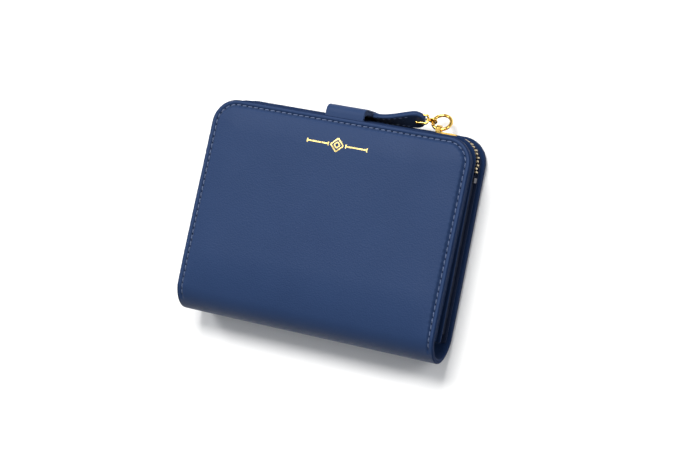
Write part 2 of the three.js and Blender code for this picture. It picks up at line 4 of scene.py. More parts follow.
import bpy
import numpy as np
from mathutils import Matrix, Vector


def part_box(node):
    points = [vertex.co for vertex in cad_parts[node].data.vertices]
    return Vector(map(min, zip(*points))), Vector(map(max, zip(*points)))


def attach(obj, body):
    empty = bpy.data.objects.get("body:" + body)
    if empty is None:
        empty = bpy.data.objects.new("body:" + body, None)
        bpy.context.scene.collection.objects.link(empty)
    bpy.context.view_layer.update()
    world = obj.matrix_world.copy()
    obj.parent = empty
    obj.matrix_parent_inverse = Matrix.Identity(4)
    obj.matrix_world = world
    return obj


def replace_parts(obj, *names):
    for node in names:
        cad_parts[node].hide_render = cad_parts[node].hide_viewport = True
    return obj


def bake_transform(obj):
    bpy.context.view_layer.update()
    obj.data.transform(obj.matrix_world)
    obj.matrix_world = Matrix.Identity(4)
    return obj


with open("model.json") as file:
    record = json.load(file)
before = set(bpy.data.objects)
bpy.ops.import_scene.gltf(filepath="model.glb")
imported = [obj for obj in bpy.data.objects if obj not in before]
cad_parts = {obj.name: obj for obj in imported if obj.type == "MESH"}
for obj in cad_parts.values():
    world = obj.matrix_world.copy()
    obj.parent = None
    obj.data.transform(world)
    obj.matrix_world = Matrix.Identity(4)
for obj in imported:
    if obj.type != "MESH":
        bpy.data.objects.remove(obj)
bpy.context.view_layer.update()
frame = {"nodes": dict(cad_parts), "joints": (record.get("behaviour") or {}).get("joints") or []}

MM = 0.001

# ---------- sizes in millimetres, from the frame
JOINTS = {j["name"]: j for j in frame["joints"]}
FOLDS = [np.array(JOINTS[f"fold_{k}"]["pos_m"][1:]) / MM for k in range(1, 7)]
BEND = math.radians(JOINTS["fold_1"]["range_deg"][1])
TILT = 6 * BEND - math.pi
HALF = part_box("back_cover")[1].x / MM
CORNER_R = 10.5
EDGE = 2.8  # cover thickness at the spine
INNER_Z = FOLDS[0][1] + EDGE  # the back cover's inner face
RIM = 3.4  # cover thickness outside the seam
CROWN = 1.9  # how much the padding adds to it
DOME = 0.28  # how much fuller the front cover is in the middle
SPINE_SKIN = 2.0  # leather thickness round the spine
DENT = 2.7  # thickness of the back cover where the strap's end sinks into it
DENT_HALF, DENT_LONG = 9.5, 24.0
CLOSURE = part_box("back_cover")[1].y / MM
BACK_LENGTH = CLOSURE - FOLDS[0][0]
FRONT_LENGTH = 80.5
STITCH = 2.1  # distance of the seam from the edge
PITCH = 2.6  # distance from stitch to stitch
GROOVE = 0.72  # depth of the seam's groove
PUCKER = 0.2  # how far the padding swells between needle holes
SEAM_END = -5.3  # the seam stops this far round the spine
BAND = [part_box(n) for n in ("zip_tape_back", "zip_tape_front")]
BAND_MID = (BAND[0][1].z + BAND[1][0].z) / 2 / MM
STACK_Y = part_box("coin_pocket_lining")[0].y / MM


def ramp(v, a, b):
    """0 below a, 1 above b and straight between them."""
    return np.clip((np.asarray(v, float) - a) / (b - a), 0, 1)


def smooth(v, a, b):
    """Like ramp, with soft ends."""
    t = ramp(v, a, b)
    return t * t * (3 - 2 * t)


# ---------- where a leaf's points go
RADIUS = np.linalg.norm(FOLDS[1] - FOLDS[0]) / 2 / math.sin(BEND / 2)
_chord = (FOLDS[1] - FOLDS[0]) / np.linalg.norm(FOLDS[1] - FOLDS[0])
CENTRE = (FOLDS[0] + FOLDS[1]) / 2 + np.array([_chord[1], -_chord[0]]) * RADIUS * math.cos(BEND / 2)
ARC_FROM = math.atan2(*(FOLDS[0] - CENTRE)[::-1]) % (2 * math.pi)
ARC_TURN = 5 * BEND
FRONT_O = FOLDS[5] - EDGE * np.array([math.sin(TILT), math.cos(TILT)])


def to_front(x, v, w):
    """A point on the front leaf: v from the fold line to the closure edge, w out from the inner face."""
    y = FRONT_O[0] + v * math.cos(TILT) + w * math.sin(TILT)
    z = FRONT_O[1] - v * math.sin(TILT) + w * math.cos(TILT)
    return np.stack(np.broadcast_arrays(x, y, z), -1)


def to_back(x, v, w):
    """The same for the back leaf."""
    return np.stack(np.broadcast_arrays(x, FOLDS[0][0] + v, INNER_Z - w), -1)


def to_arc(x, turn, w):
    """The same round the spine, at an angle from the back leaf's fold line."""
    a = ARC_FROM - turn
    r = RADIUS - EDGE + w
    return np.stack(np.broadcast_arrays(x, CENTRE[0] + r * np.cos(a), CENTRE[1] + r * np.sin(a)), -1)


def plain(x, v, w):
    """The same with the frame's own y and z."""
    return np.stack(np.broadcast_arrays(x, v, w), -1)


# ---------- mesh helpers
def new_mesh(name, points, faces, materials, index=None, normals=None):
    """A mesh object from points in millimetres. normals are one per face corner."""
    mesh = bpy.data.meshes.new(name)
    mesh.from_pydata((np.asarray(points) * MM).tolist(), [], faces)
    for m in materials:
        mesh.materials.append(m)
    if index is not None:
        mesh.polygons.foreach_set("material_index", index)
    mesh.polygons.foreach_set("use_smooth", [True] * len(faces))
    mesh.update()
    if normals is not None:
        mesh.normals_split_custom_set(normals)
    obj = bpy.data.objects.new(name, mesh)
    bpy.context.scene.collection.objects.link(obj)
    return obj


def soften(obj, width, angle=35, segments=2):
    """A small bevel on an exact CAD shape, which leaves the mesh itself alone."""
    bevel = obj.modifiers.new("bevel", "BEVEL")
    bevel.width = width * MM
    bevel.segments = segments
    bevel.limit_method = "ANGLE"
    bevel.angle_limit = math.radians(angle)
    bevel.harden_normals = False
    bevel.use_clamp_overlap = True


def sharp(obj, angle=40):
    """Smooth shading that stays crisp at real corners."""
    mesh = obj.data
    mesh.set_sharp_from_angle(angle=math.radians(angle))


class Parts:
    """Gathers several closed solids into one object."""

    def __init__(self):
        self.points, self.faces, self.index = [], [], []
        self.count = 0

    def add(self, points, faces, material=0):
        points = np.asarray(points, float)
        if volume(points, faces) < 0:
            faces = [tuple(reversed(f)) for f in faces]
        self.points.append(points)
        self.faces += [tuple(i + self.count for i in f) for f in faces]
        self.index += [material] * len(faces)
        self.count += len(points)

    def build(self, name, materials, angle=None):
        obj = new_mesh(name, np.concatenate(self.points), self.faces, materials, self.index)
        if angle:
            sharp(obj, angle)
        return obj


def volume(points, faces):
    """Six times the enclosed volume: negative when the faces point inwards."""
    total = 0.0
    for f in faces:
        a = points[f[0]]
        for i in range(1, len(f) - 1):
            total += np.dot(a, np.cross(points[f[i]], points[f[i + 1]]))
    return total


def loft(loops, closed=False):
    """Quads between loops of equal length. Open lofts get an end face at each end."""
    n = len(loops[0])
    points = np.concatenate(loops)
    faces = []
    last = len(loops) if closed else len(loops) - 1
    for k in range(last):
        a, b = k * n, (k + 1) % len(loops) * n
        for i in range(n):
            j = (i + 1) % n
            faces.append((a + i, a + j, b + j, b + i))
    if not closed:
        faces.append(tuple(reversed(range(n))))
        faces.append(tuple(range(len(points) - n, len(points))))
    return points, faces


def tube(path, radius, sides=12, closed=False):
    """A round rod along a path. The radius is one number or one per point."""
    path = np.asarray(path, float)
    radius = np.broadcast_to(radius, len(path))
    if closed:
        tangent = np.roll(path, -1, 0) - np.roll(path, 1, 0)
    else:
        tangent = np.gradient(path, axis=0)
    tangent /= np.linalg.norm(tangent, axis=1)[:, None]
    side = np.cross(tangent[0], [0.31, 0.52, 0.79])
    loops = []
    for p, t, r in zip(path, tangent, radius):
        side = side - t * np.dot(side, t)
        side /= np.linalg.norm(side)
        up = np.cross(t, side)
        a = np.linspace(0, 2 * math.pi, sides, endpoint=False)
        loops.append(p + r * (np.outer(np.cos(a), side) + np.outer(np.sin(a), up)))
    return loft(loops, closed)


def capped(path, radius, sides=12, n=4):
    """A rod whose two ends are round."""
    path = np.asarray(path, float)
    a = np.linspace(0, math.pi / 2, n + 1)[:-1]
    start = (path[1] - path[0]) / np.linalg.norm(path[1] - path[0])
    end = (path[-1] - path[-2]) / np.linalg.norm(path[-1] - path[-2])
    head = [path[0] - start * radius * math.cos(t) for t in a]
    tail = [path[-1] + end * radius * math.cos(t) for t in reversed(a)]
    r = [radius * max(math.sin(t), 0.08) for t in a]
    return tube([*head, *path, *tail], [*r, *[radius] * len(path), *reversed(r)], sides)


def curve(points, n=8):
    """A smooth line through the given points."""
    p = np.asarray(points, float)
    p = np.concatenate([[2 * p[0] - p[1]], p, [2 * p[-1] - p[-2]]])
    out = []
    for i in range(1, len(p) - 2):
        for t in np.linspace(0, 1, n, endpoint=False):
            a, b, c, d = p[i - 1 : i + 3]
            cubic = (3 * b - a - 3 * c + d) * t**3
            out.append(0.5 * (2 * b + (c - a) * t + (2 * a - 5 * b + 4 * c - d) * t**2 + cubic))
    return np.array([*out, p[-2]])


def lathe(profile, centre_y, steps=64):
    """A turned solid on a vertical axis. profile lists (radius, z) from the axis back to the axis."""
    loops = []
    for r, z in profile:
        a = np.linspace(0, 2 * math.pi, steps, endpoint=False)
        loops.append(np.stack([r * np.cos(a), centre_y + r * np.sin(a), np.full(steps, z)], -1))
    return loft(loops)


# ---------- materials
class Nodes:
    """A few lines' shorthand for building a material."""

    def __init__(self, name):
        self.material = bpy.data.materials.new(name)
        self.material.use_nodes = True
        self.tree = self.material.node_tree
        self.shader = self.tree.nodes["Principled BSDF"]
        self.coords = self.tree.nodes.new("ShaderNodeTexCoord").outputs["Object"]

    def node(self, kind, inputs=None, **settings):
        n = self.tree.nodes.new(kind)
        for key, value in settings.items():
            setattr(n, key, value)
        for key, value in (inputs or {}).items():
            if hasattr(value, "is_output"):
                self.tree.links.new(value, n.inputs[key])
            else:
                n.inputs[key].default_value = value
        return n

    def noise(self, scale, detail=3.0, rough=0.5, vector=None):
        inputs = {"Vector": vector or self.coords, "Scale": scale, "Detail": detail, "Roughness": rough}
        return self.node("ShaderNodeTexNoise", inputs).outputs["Fac"]

    def cells(self, scale, feature="F1"):
        inputs = {"Vector": self.coords, "Scale": scale}
        return self.node("ShaderNodeTexVoronoi", inputs, feature=feature).outputs["Distance"]

    def spread(self, value, low, high, a=0.0, b=1.0):
        inputs = {"Value": value, "From Min": low, "From Max": high, "To Min": a, "To Max": b}
        return self.node("ShaderNodeMapRange", inputs).outputs["Result"]

    def math(self, operation, a, b):
        return self.node("ShaderNodeMath", {0: a, 1: b}, operation=operation).outputs[0]

    def colours(self, value, stops):
        n = self.node("ShaderNodeValToRGB", {"Fac": value})
        ramp_ = n.color_ramp
        while len(ramp_.elements) < len(stops):
            ramp_.elements.new(0.5)
        for element, (at, colour) in zip(ramp_.elements, stops):
            element.position = at
            element.color = (*colour, 1)
        return n.outputs["Color"]

    def bump(self, height, strength, distance, under=None):
        inputs = {"Height": height, "Strength": strength, "Distance": distance}
        if under:
            inputs["Normal"] = under
        return self.node("ShaderNodeBump", inputs).outputs["Normal"]

    def set(self, **values):
        for key, value in values.items():
            socket = self.shader.inputs[key.replace("_", " ")]
            if hasattr(value, "is_output"):
                self.tree.links.new(value, socket)
            else:
                socket.default_value = value
        return self.material


def leather(name, deep, light, rough, grain, specular=0.4):
    """Smooth finished leather: a fine closed grain, faint cloudiness and uneven polish."""
    n = Nodes(name)
    cloud = n.noise(38, 4, 0.6)
    cell = n.cells(1500)
    pores = n.noise(3200, 2, 0.6)
    colour = n.colours(n.spread(cloud, 0.3, 0.7), [(0.0, deep), (1.0, light)])
    height = n.math("ADD", n.math("MULTIPLY", cell, 0.7), n.math("MULTIPLY", pores, 0.5))
    wave = n.bump(n.noise(160, 2, 0.5), 0.2, 0.00012)
    normal = n.bump(height, grain, 0.00011, wave)
    polish = n.spread(n.noise(90, 3, 0.6), 0.3, 0.7, rough - 0.02, rough + 0.03)
    n.set(Base_Color=colour, Roughness=polish, Normal=normal)
    return n.set(Specular_IOR_Level=specular, Sheen_Weight=0.05, Sheen_Roughness=0.4)


def cloth(name, dark, light, pitch, rough=0.85, strength=0.6):
    """Plain woven fabric with the given thread pitch in metres."""
    n = Nodes(name)
    turn = 2 * math.pi / pitch
    parts = n.node("ShaderNodeSeparateXYZ", {"Vector": n.coords})
    x, y, z = (n.math("SINE", n.math("MULTIPLY", parts.outputs[a], turn), 0.0) for a in "XYZ")
    weave = n.math("MULTIPLY", n.math("ADD", x, 0.25), n.math("ADD", y, 0.25))
    weave = n.math("ADD", weave, n.math("MULTIPLY", z, 0.4))
    fuzz = n.spread(n.noise(2600, 2, 0.7), 0, 1, -0.5, 0.5)
    tone = n.spread(n.math("ADD", weave, fuzz), -1.2, 1.2)
    colour = n.colours(tone, [(0.0, dark), (1.0, light)])
    normal = n.bump(weave, strength, 0.00008)
    n.set(Base_Color=colour, Normal=normal)
    return n.set(Roughness=rough, Sheen_Weight=0.03, Specular_IOR_Level=0.08)


def metal(name, colour, rough):
    """Plated metal with faint polishing marks."""
    n = Nodes(name)
    wear = n.noise(900, 4, 0.6)
    shade = [c * 0.82 for c in colour]
    tint = n.colours(n.spread(n.noise(260, 3), 0.3, 0.7), [(0.0, shade), (1.0, colour)])
    polish = n.spread(wear, 0.3, 0.7, rough * 0.75, rough * 1.35)
    n.set(Base_Color=tint, Roughness=polish, Normal=n.bump(wear, 0.1, 0.00003))
    return n.set(Metallic=1.0)


def thread(name, dark, light):
    """Twisted sewing thread."""
    n = Nodes(name)
    inputs = {"Vector": n.coords, "Scale": 900.0, "Distortion": 1.5}
    ply = n.node("ShaderNodeTexWave", inputs, bands_direction="DIAGONAL").outputs["Fac"]
    colour = n.colours(ply, [(0.0, dark), (1.0, light)])
    n.set(Base_Color=colour, Normal=n.bump(ply, 0.5, 0.00006))
    return n.set(Roughness=0.55, Sheen_Weight=0.3)


OUTER = leather("outer_leather", (0.0158, 0.0345, 0.092), (0.0172, 0.0370, 0.098), 0.52, 0.80, 0.11)
# Edge colour: the edge paint's own dark navy, made darker still as painted shade for the unlit sides.
PAINTED = leather("edge_leather", (0.0065, 0.0165, 0.052), (0.009, 0.021, 0.062), 0.78, 0.2, 0.03)
# Inner colour: the inner leather's own navy, darkened further as painted shade for the recessed insides and
# the spine.
INNER = leather("inner_leather", (0.0075, 0.0185, 0.056), (0.0095, 0.0225, 0.066), 0.80, 0.5, 0.03)
# Lining colour: the fabric's own navy, darkened further as painted shade for the recessed insides.
LINING = cloth("lining_fabric_and_painted_shade", (0.008, 0.013, 0.034), (0.016, 0.026, 0.062), 0.0007)
TAPE = cloth("zip_tape_fabric", (0.004, 0.007, 0.018), (0.010, 0.016, 0.038), 0.0005)
GOLD = metal("gold_plating", (0.82, 0.53, 0.13), 0.18)
TEETH = metal("teeth_plating", (0.60, 0.50, 0.32), 0.36)
# The zip stops' dark grey is painted shade, so they sink into the shaded channel of the chain.
STOP_SHADE = metal("stop_painted_shade", (0.09, 0.09, 0.11), 0.40)
FOIL = metal("gold_foil", (0.90, 0.70, 0.26), 0.32)
THREAD = thread("seam_thread", (0.030, 0.054, 0.130), (0.090, 0.130, 0.240))
# Needle holes: the near-black colour is painted shade inside each hole.
HOLE_SHADE = leather("needle_hole", (0.002, 0.003, 0.008), (0.003, 0.005, 0.012), 0.8, 0.1, 0.1)


# ---------- the leather shell: two covers and the spine
def seam_groove(d, s, live=1.0):
    """The line pressed by the seam and the lip where the padding starts. s runs from the fold line."""
    fade = smooth(s, SEAM_END - 1.2, SEAM_END + 0.6) * live
    groove = GROOVE * np.exp(-(((d - STITCH) / 0.46) ** 2))
    lip = 0.16 * np.exp(-(((d - 3.0) / 0.42) ** 2))
    return (lip - groove) * fade


def puckers(x, v, d, length):
    """The padding swells beside each stitch and is drawn down at the needle holes."""
    r, cx, cy = CORNER_R - STITCH, HALF - CORNER_R, length - CORNER_R
    quarter = math.pi / 2 * r
    straight = cy - SEAM_END - 0.9
    total = 2 * straight + 2 * quarter + 2 * cx
    left = np.arctan2(v - cy, -cx - x) * r
    right = np.arctan2(x - cx, v - cy) * r
    along = np.where(np.abs(x) <= cx, quarter + x + cx, np.where(x < 0, left, quarter + 2 * cx + right))
    climb = v - cy + straight
    along = np.where(v > cy, straight + along, np.where(x < 0, climb, total - climb))
    pitch = total / (total // PITCH)
    swell = -np.cos(2 * math.pi * along / pitch) - 0.3
    return PUCKER * swell * np.exp(-(((d - 2.95) / 0.45) ** 2)) * smooth(v, 1, 5)


def cover_height(x, v, d, length, dented):
    """Outer surface above the inner face, without the seam. d is the distance from the edge."""
    rise = 0.32 * smooth(d, 2.5, 3.5) + 0.68 * (1 - (1 - ramp(d, 2.6, 13.6)) ** 2.2)
    level = RIM + CROWN * rise
    across, along = np.clip(x / HALF, -1, 1), np.clip(v / length, 0, 1)
    dome = DOME * np.cos(across * math.pi / 2) * np.sin(along * math.pi)
    soft = 0.035 * np.sin(x * 0.13 + 1.1) * np.sin(v * 0.17 + 0.4) + 0.02 * np.sin(x * 0.31 - v * 0.23)
    level = level + (soft - 0.055 if dented else dome + soft) * smooth(d, 3, 14)
    level = level - (level - EDGE) * (1 - ramp(v, 0, 18)) ** 2
    if dented:
        across = 1 - smooth(np.abs(x), DENT_HALF, DENT_HALF + 4)
        along = smooth(v, length - DENT_LONG, length - DENT_LONG + 4.5)
        level = np.minimum(level, level + (DENT - level) * across * along)
    return level


# Rings from the inner face, over the edge, to the outer face: distance from the edge, share of the thickness.
INNER_RINGS = [(10.5, 0), (5.0, 0), (1.6, 0), (0.6, 0), (0.18, 0.05)]
EDGE_RINGS = [(0, 0.14), (0, 0.27), (0, 0.40), (0.10, 0.435), (0.30, 0.455), (0.30, 0.475), (0.10, 0.50)]
EDGE_RINGS += [(0, 0.53), (0, 0.64), (0, 0.76), (0.06, 0.86), (0.22, 0.94), (0.48, 0.985)]
OUTER_RINGS = [0.8, 1.1, 1.4, 1.6, 1.78, 1.94, 2.1, 2.26, 2.42, 2.6, 2.8, 3.0, 3.25, 3.6]
OUTER_RINGS += [4.2, 5.2, 6.4, 7.8, 9.2, 10.5]
RINGS = [*INNER_RINGS, *EDGE_RINGS, *[(d, None) for d in OUTER_RINGS]]
FIRST_OUTER = len(INNER_RINGS) + len(EDGE_RINGS)
ROWS_PER_STRIP = 8
FOLD_BLEND = 3.3  # distance from the fold line along each leaf


class Leaf:
    """One cover's surface as concentric rings round three sides and a grid inside them."""

    def __init__(self, length, place, dented):
        self.length, self.place, self.dented = length, place, dented
        self.vs = np.linspace(0, length - CORNER_R, 112)
        self.xs = np.linspace(-HALF + CORNER_R, HALF - CORNER_R, 144)
        self.arc = np.linspace(0, math.pi / 2, 25)[1:-1]
        self.rows = []  # x, v, inset, share of the thickness (nan on the outer face)
        self.faces, self.index = [], []
        self.rings = [self.ring(d, f) for d, f in RINGS]
        self.join_rings()
        self.outer = self.grid(self.rings[-1], None, 0)
        self.inner = self.grid(self.rings[0], 0, 2)
        self.points = self.shape(np.array(self.rows, float))

    def vertex(self, x, v, d, f):
        self.rows.append((x, v, d, np.nan if f is None else f))
        return len(self.rows) - 1

    def ring(self, d, f):
        """Vertex numbers along left side, corner, closure edge, corner and right side."""
        half, top, r = HALF - d, self.length - d, CORNER_R - d
        cx, cy = HALF - CORNER_R, self.length - CORNER_R
        left = [self.vertex(-half, v, d, f) for v in self.vs]
        if r < 1e-6:
            edge = [self.vertex(x, top, d, f) for x in self.xs[1:]]
            right = [self.vertex(half, v, d, f) for v in self.vs[::-1][1:]]
            corner, other = left[-1], edge[-1]
            arc = [corner] * len(self.arc), [other] * len(self.arc)
            return [*left, *arc[0], corner, *edge, *arc[1], other, *right]
        arc1 = [self.vertex(-cx - r * math.cos(a), cy + r * math.sin(a), d, f) for a in self.arc]
        edge = [self.vertex(x, top, d, f) for x in self.xs]
        arc2 = [self.vertex(cx + r * math.sin(a), cy + r * math.cos(a), d, f) for a in self.arc]
        right = [self.vertex(half, v, d, f) for v in self.vs[::-1]]
        return [*left, *arc1, *edge, *arc2, *right]

    def face(self, corners, material):
        unique = list(dict.fromkeys(corners))
        if len(unique) > 2:
            self.faces.append(tuple(unique))
            self.index.append(material)

    def join_rings(self):
        for k in range(len(self.rings) - 1):
            a, b = self.rings[k], self.rings[k + 1]
            material = 2 if k < len(INNER_RINGS) - 1 else (1 if k < FIRST_OUTER - 1 else 0)
            for i in range(len(a) - 1):
                self.face((a[i], a[i + 1], b[i + 1], b[i]), material)

    def grid(self, ring, f, material):
        nv, nx = len(self.vs), len(self.xs)
        na = len(self.arc)
        top = ring[nv + na : nv + na + nx]
        right = ring[::-1][:nv]
        table = [[0] * nx for _ in range(nv)]
        for i in range(nv):
            for j in range(nx):
                if j == 0:
                    table[i][j] = ring[i]
                elif i == nv - 1:
                    table[i][j] = top[j]
                elif j == nx - 1:
                    table[i][j] = right[i]
                else:
                    x, v = self.xs[j], self.vs[i]
                    d = CORNER_R - max(abs(x) - (HALF - CORNER_R), v - (self.length - CORNER_R))
                    table[i][j] = self.vertex(x, v, d, f)
        for i in range(nv - 1):
            for j in range(nx - 1):
                quad = (table[i][j], table[i + 1][j], table[i + 1][j + 1], table[i][j + 1])
                self.face(quad if f is None else quad[::-1], material)
        return table

    def loop(self):
        """The cross-section at the fold line, once round."""
        left = [r[0] for r in self.rings]
        right = [r[-1] for r in reversed(self.rings)]
        return [*left, *self.outer[0][1:-1], *right, *self.inner[0][-2:0:-1]]

    def shape(self, rows):
        x, v, d, f = rows.T
        inside = (EDGE - SPINE_SKIN) * (1 - smooth(v, 0, 6))
        rim = cover_height(x, v, np.full_like(d, 1.0), self.length, self.dented)
        live = 1 - (np.abs(x) < 9.2) * (v > self.length - 5) * self.dented
        top = cover_height(x, v, d, self.length, self.dented) + seam_groove(d, v, live)
        top = top + puckers(x, v, d, self.length) * live
        w = np.where(np.isnan(f), top, inside + np.nan_to_num(f) * (rim - inside))
        mitre = (EDGE - w) * math.tan(BEND / 2) * (1 - ramp(v, 0, 10))
        return self.place(x, v + mitre, w)


def shell():
    """The one leather's points, faces (corners, material, piece) and cross-sections round the spine."""
    back = Leaf(BACK_LENGTH, to_back, True)
    front = Leaf(FRONT_LENGTH, to_front, False)
    rows = np.array(back.rows)[back.loop()]
    steps = 5 * ROWS_PER_STRIP
    x, d, f = rows[:, 0], rows[:, 2], rows[:, 3]
    points = [back.points, front.points]
    base = len(back.points) + len(front.points)
    loops = [np.array(back.loop())]
    for k in range(1, steps):
        turn = ARC_TURN * k / steps
        s = -RADIUS * min(turn, ARC_TURN - turn)
        top = EDGE + seam_groove(d, s)
        inside = EDGE - SPINE_SKIN
        w = np.where(np.isnan(f), top, inside + np.nan_to_num(f) * (EDGE - inside))
        points.append(to_arc(x, turn, w))
        loops.append(base + (k - 1) * len(x) + np.arange(len(x)))
    loops.append(len(back.points) + np.array(front.loop()))
    points = np.concatenate(points)
    inner = len(INNER_RINGS) - 1
    kinds = [2] * inner + [1] * (FIRST_OUTER - inner) + [0] * (len(RINGS) - FIRST_OUTER)
    kinds += [0] * (len(back.xs) - 2) + kinds[::-1] + [2] * (len(back.xs) - 2)
    faces = [(tuple(reversed(q)), m, 0) for q, m in zip(back.faces, back.index)]
    offset = len(back.points)
    faces += [(tuple(i + offset for i in q), m, 5) for q, m in zip(front.faces, front.index)]
    n = len(x)
    for k in range(steps):
        piece = (k + ROWS_PER_STRIP // 2) // ROWS_PER_STRIP
        a, b = loops[k], loops[k + 1]
        for i in range(n):
            j = (i + 1) % n
            faces.append(((int(a[i]), int(b[i]), int(b[j]), int(a[j])), kinds[i], piece))
    return points, faces, loops


def vertex_normals(points, faces):
    normals = np.zeros_like(points)
    for sides in (3, 4):
        corners = np.array([q for q, _, _ in faces if len(q) == sides])
        if len(corners):
            p = points[corners]
            n = np.cross(p[:, 2] - p[:, 0], p[:, -1] - p[:, 1])
            for k in range(sides):
                np.add.at(normals, corners[:, k], n)
    return normals / np.maximum(np.linalg.norm(normals, axis=1), 1e-12)[:, None]


def shell_piece(name, number, points, faces, loops, normals):
    """One of the six pieces, closed at its cuts."""
    mine = [(q, m) for q, m, p in faces if p == number]
    cuts = []
    if number > 0:
        cuts.append(loops[ROWS_PER_STRIP * number - ROWS_PER_STRIP // 2])
    if number < 5:
        cuts.append(loops[ROWS_PER_STRIP * (number + 1) - ROWS_PER_STRIP // 2][::-1])
    caps = [tuple(int(i) for i in c) for c in cuts]
    used = sorted({i for q, _ in mine for i in q})
    at = {v: i for i, v in enumerate(used)}
    corners = []
    polygons, index = [], []
    for q, m in mine:
        polygons.append(tuple(at[i] for i in q))
        index.append(m)
        corners += [normals[i] for i in q]
    for c in caps:
        p = points[list(c)]
        n = np.cross(p - p.mean(0), np.roll(p, -1, 0) - p.mean(0)).sum(0)
        polygons.append(tuple(at[i] for i in c))
        index.append(1)
        corners += [n / np.linalg.norm(n)] * len(c)
    return new_mesh(name, points[used], polygons, [OUTER, PAINTED, INNER], index, corners)


def make_shell():
    """Six pieces cut at the middle of each spine strip, with normals shared across the cuts."""
    points, faces, loops = shell()
    normals = vertex_normals(points, faces)
    probe = np.argmax(points[:, 2])
    if normals[probe][2] < 0:
        faces = [(tuple(reversed(q)), m, p) for q, m, p in faces]
        loops = [l[::-1] for l in loops]
        normals = -normals
    names = ["back_leather", *[f"spine_leather_{k}" for k in range(1, 5)], "front_leather"]
    replaced = [
        ["back_cover", "back_pad", "back_board", "spine_strip_1"],
        *[[f"spine_strip_{k}"] for k in (2, 3, 4)],
        [],
        ["front_cover", "front_pad", "front_board", "spine_strip_5"],
    ]
    half = BEND / 2
    middles = [to_arc(0.0, half + k * BEND, EDGE) * MM for k in range(5)]
    ends = [to_back(0.0, FOLD_BLEND, EDGE) * MM, *middles, to_front(0.0, FOLD_BLEND, EDGE) * MM]
    for k, name in enumerate(names):
        piece = shell_piece(name, k, points, faces, loops, normals)
        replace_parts(piece, *replaced[k])
        tuple(ends[k])
        tuple(ends[k + 1])
        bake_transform(piece)


# ---------- seams
def seam_line(length, inset, start):
    """A seam round three sides: the (x, v) at a distance along it, and its total length."""
    r = CORNER_R - inset
    cx, cy = HALF - CORNER_R, length - CORNER_R
    quarter = math.pi / 2 * r
    run = [cy - start, quarter, 2 * cx, quarter, cy - start]

    def at(s):
        if s < run[0]:
            return -HALF + inset, start + s
        s -= run[0]
        if s < run[1]:
            return -cx - r * math.cos(s / r), cy + r * math.sin(s / r)
        s -= run[1]
        if s < run[2]:
            return -cx + s, length - inset
        s -= run[2]
        if s < run[3]:
            return cx + r * math.sin(s / r), cy + r * math.cos(s / r)
        return HALF - inset, cy - (s - run[3])

    return at, sum(run)


HOLE_RINGS = [(0.42, 0.36, 0.06), (0.30, 0.20, -0.30)]  # half width, half length and height


def needle_hole(p, surface, wide, long, lift):
    turns = np.arange(6) * math.pi / 3
    return np.array([surface(p[0] + wide * math.cos(t), p[1] + long * math.sin(t), lift) for t in turns])


def stitch_parts(parts, at, total, surface, pitch=PITCH, length=1.95, radius=0.25, slant=0.13, keep=None):
    """Thread and needle holes along a line. surface(x, v, lift) is the point that far over its floor."""
    count = int(total // pitch)
    gap = total / count
    for k in range(count):
        mid = (k + 0.5) * gap
        if keep and not keep(*at(mid)):
            continue
        a, b, c = at(mid - length / 2), at(mid), at(mid + length / 2)
        along = np.array(c) - np.array(a)
        along /= np.linalg.norm(along)
        side = np.array([-along[1], along[0]])
        line = []
        for t, lift in ((-1, -0.34), (-0.72, -0.02), (0, 0.10), (0.72, -0.02), (1, -0.34)):
            p = np.array(b) + along * t * length / 2 + side * t * slant
            line.append(surface(p[0], p[1], lift))
        parts.add(*tube(curve(line, 3), radius, 8), material=0)
        # Needle holes: shallow dips coloured with the near-black painted shade.
        for end in (-1, 1):
            p = np.array(b) + along * end * (length / 2 + 0.16) + side * end * slant
            parts.add(*loft([needle_hole(p, surface, *ring) for ring in HOLE_RINGS]), material=1)


def cover_surface(length, place, dented):
    """Where a seam lies on a cover, carried on round the spine where v is negative."""
    back = place is to_back

    def surface(x, v, lift):
        if v >= 0:
            w = float(cover_height(x, v, STITCH, length, dented)) - GROOVE + lift
            mitre = (EDGE - w) * math.tan(BEND / 2) * (1 - float(ramp(v, 0, 10)))
            return place(x, v + mitre, w)
        turn = -v / RADIUS if back else ARC_TURN + v / RADIUS
        return to_arc(x, turn, EDGE - GROOVE + lift)

    return surface


def make_seams():
    """The seam on each cover, in a flat piece and a piece round the spine."""
    for name, length, place, dented, half, strip in (
        ("front", FRONT_LENGTH, to_front, False, "front_half", "spine_5"),
        ("back", BACK_LENGTH, to_back, True, "back_half", "spine_1"),
    ):
        at, total = seam_line(length, STITCH, SEAM_END + 0.9)
        surface = cover_surface(length, place, dented)
        clear = lambda x, v: not (dented and abs(x) < 10 and v > length - 5)
        flat, bent = Parts(), Parts()
        stitch_parts(flat, at, total, surface, keep=lambda x, v: v > 1.2 and clear(x, v))
        stitch_parts(bent, at, total, surface, keep=lambda x, v: v <= 1.2)
        seam = flat.build(f"{name}_seam", [THREAD, HOLE_SHADE])
        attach(seam, half)
        end = bent.build(f"{name}_seam_end", [THREAD, HOLE_SHADE])
        middle = to_arc(0.0, BEND / 2 if dented else ARC_TURN - BEND / 2, EDGE) * MM
        leaf = place(0.0, FOLD_BLEND, EDGE) * MM
        pair = (half, strip, leaf, middle) if dented else (strip, half, middle, leaf)
        tuple(pair[2])
        tuple(pair[3])
        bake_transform(end)


# ---------- panels, card slots and linings
def outline(y0, y1, inset, radius, extra=0.0, n=10):
    """A panel's edge: nearly square at the fold, round at the closure edge."""
    half = HALF - inset - extra
    r = max(radius - inset - extra, 0.4)
    low = 0.8
    points = []
    for cx, cy, rr, a0 in (
        (half - low, y0 + extra + low, low, -math.pi / 2),
        (half - r, y1 - extra - r, r, 0),
        (-half + r, y1 - extra - r, r, math.pi / 2),
        (-half + low, y0 + extra + low, low, math.pi),
    ):
        for a in np.linspace(a0, a0 + math.pi / 2, n):
            points.append((cx + rr * math.cos(a), cy + rr * math.sin(a)))
    return np.array(points)


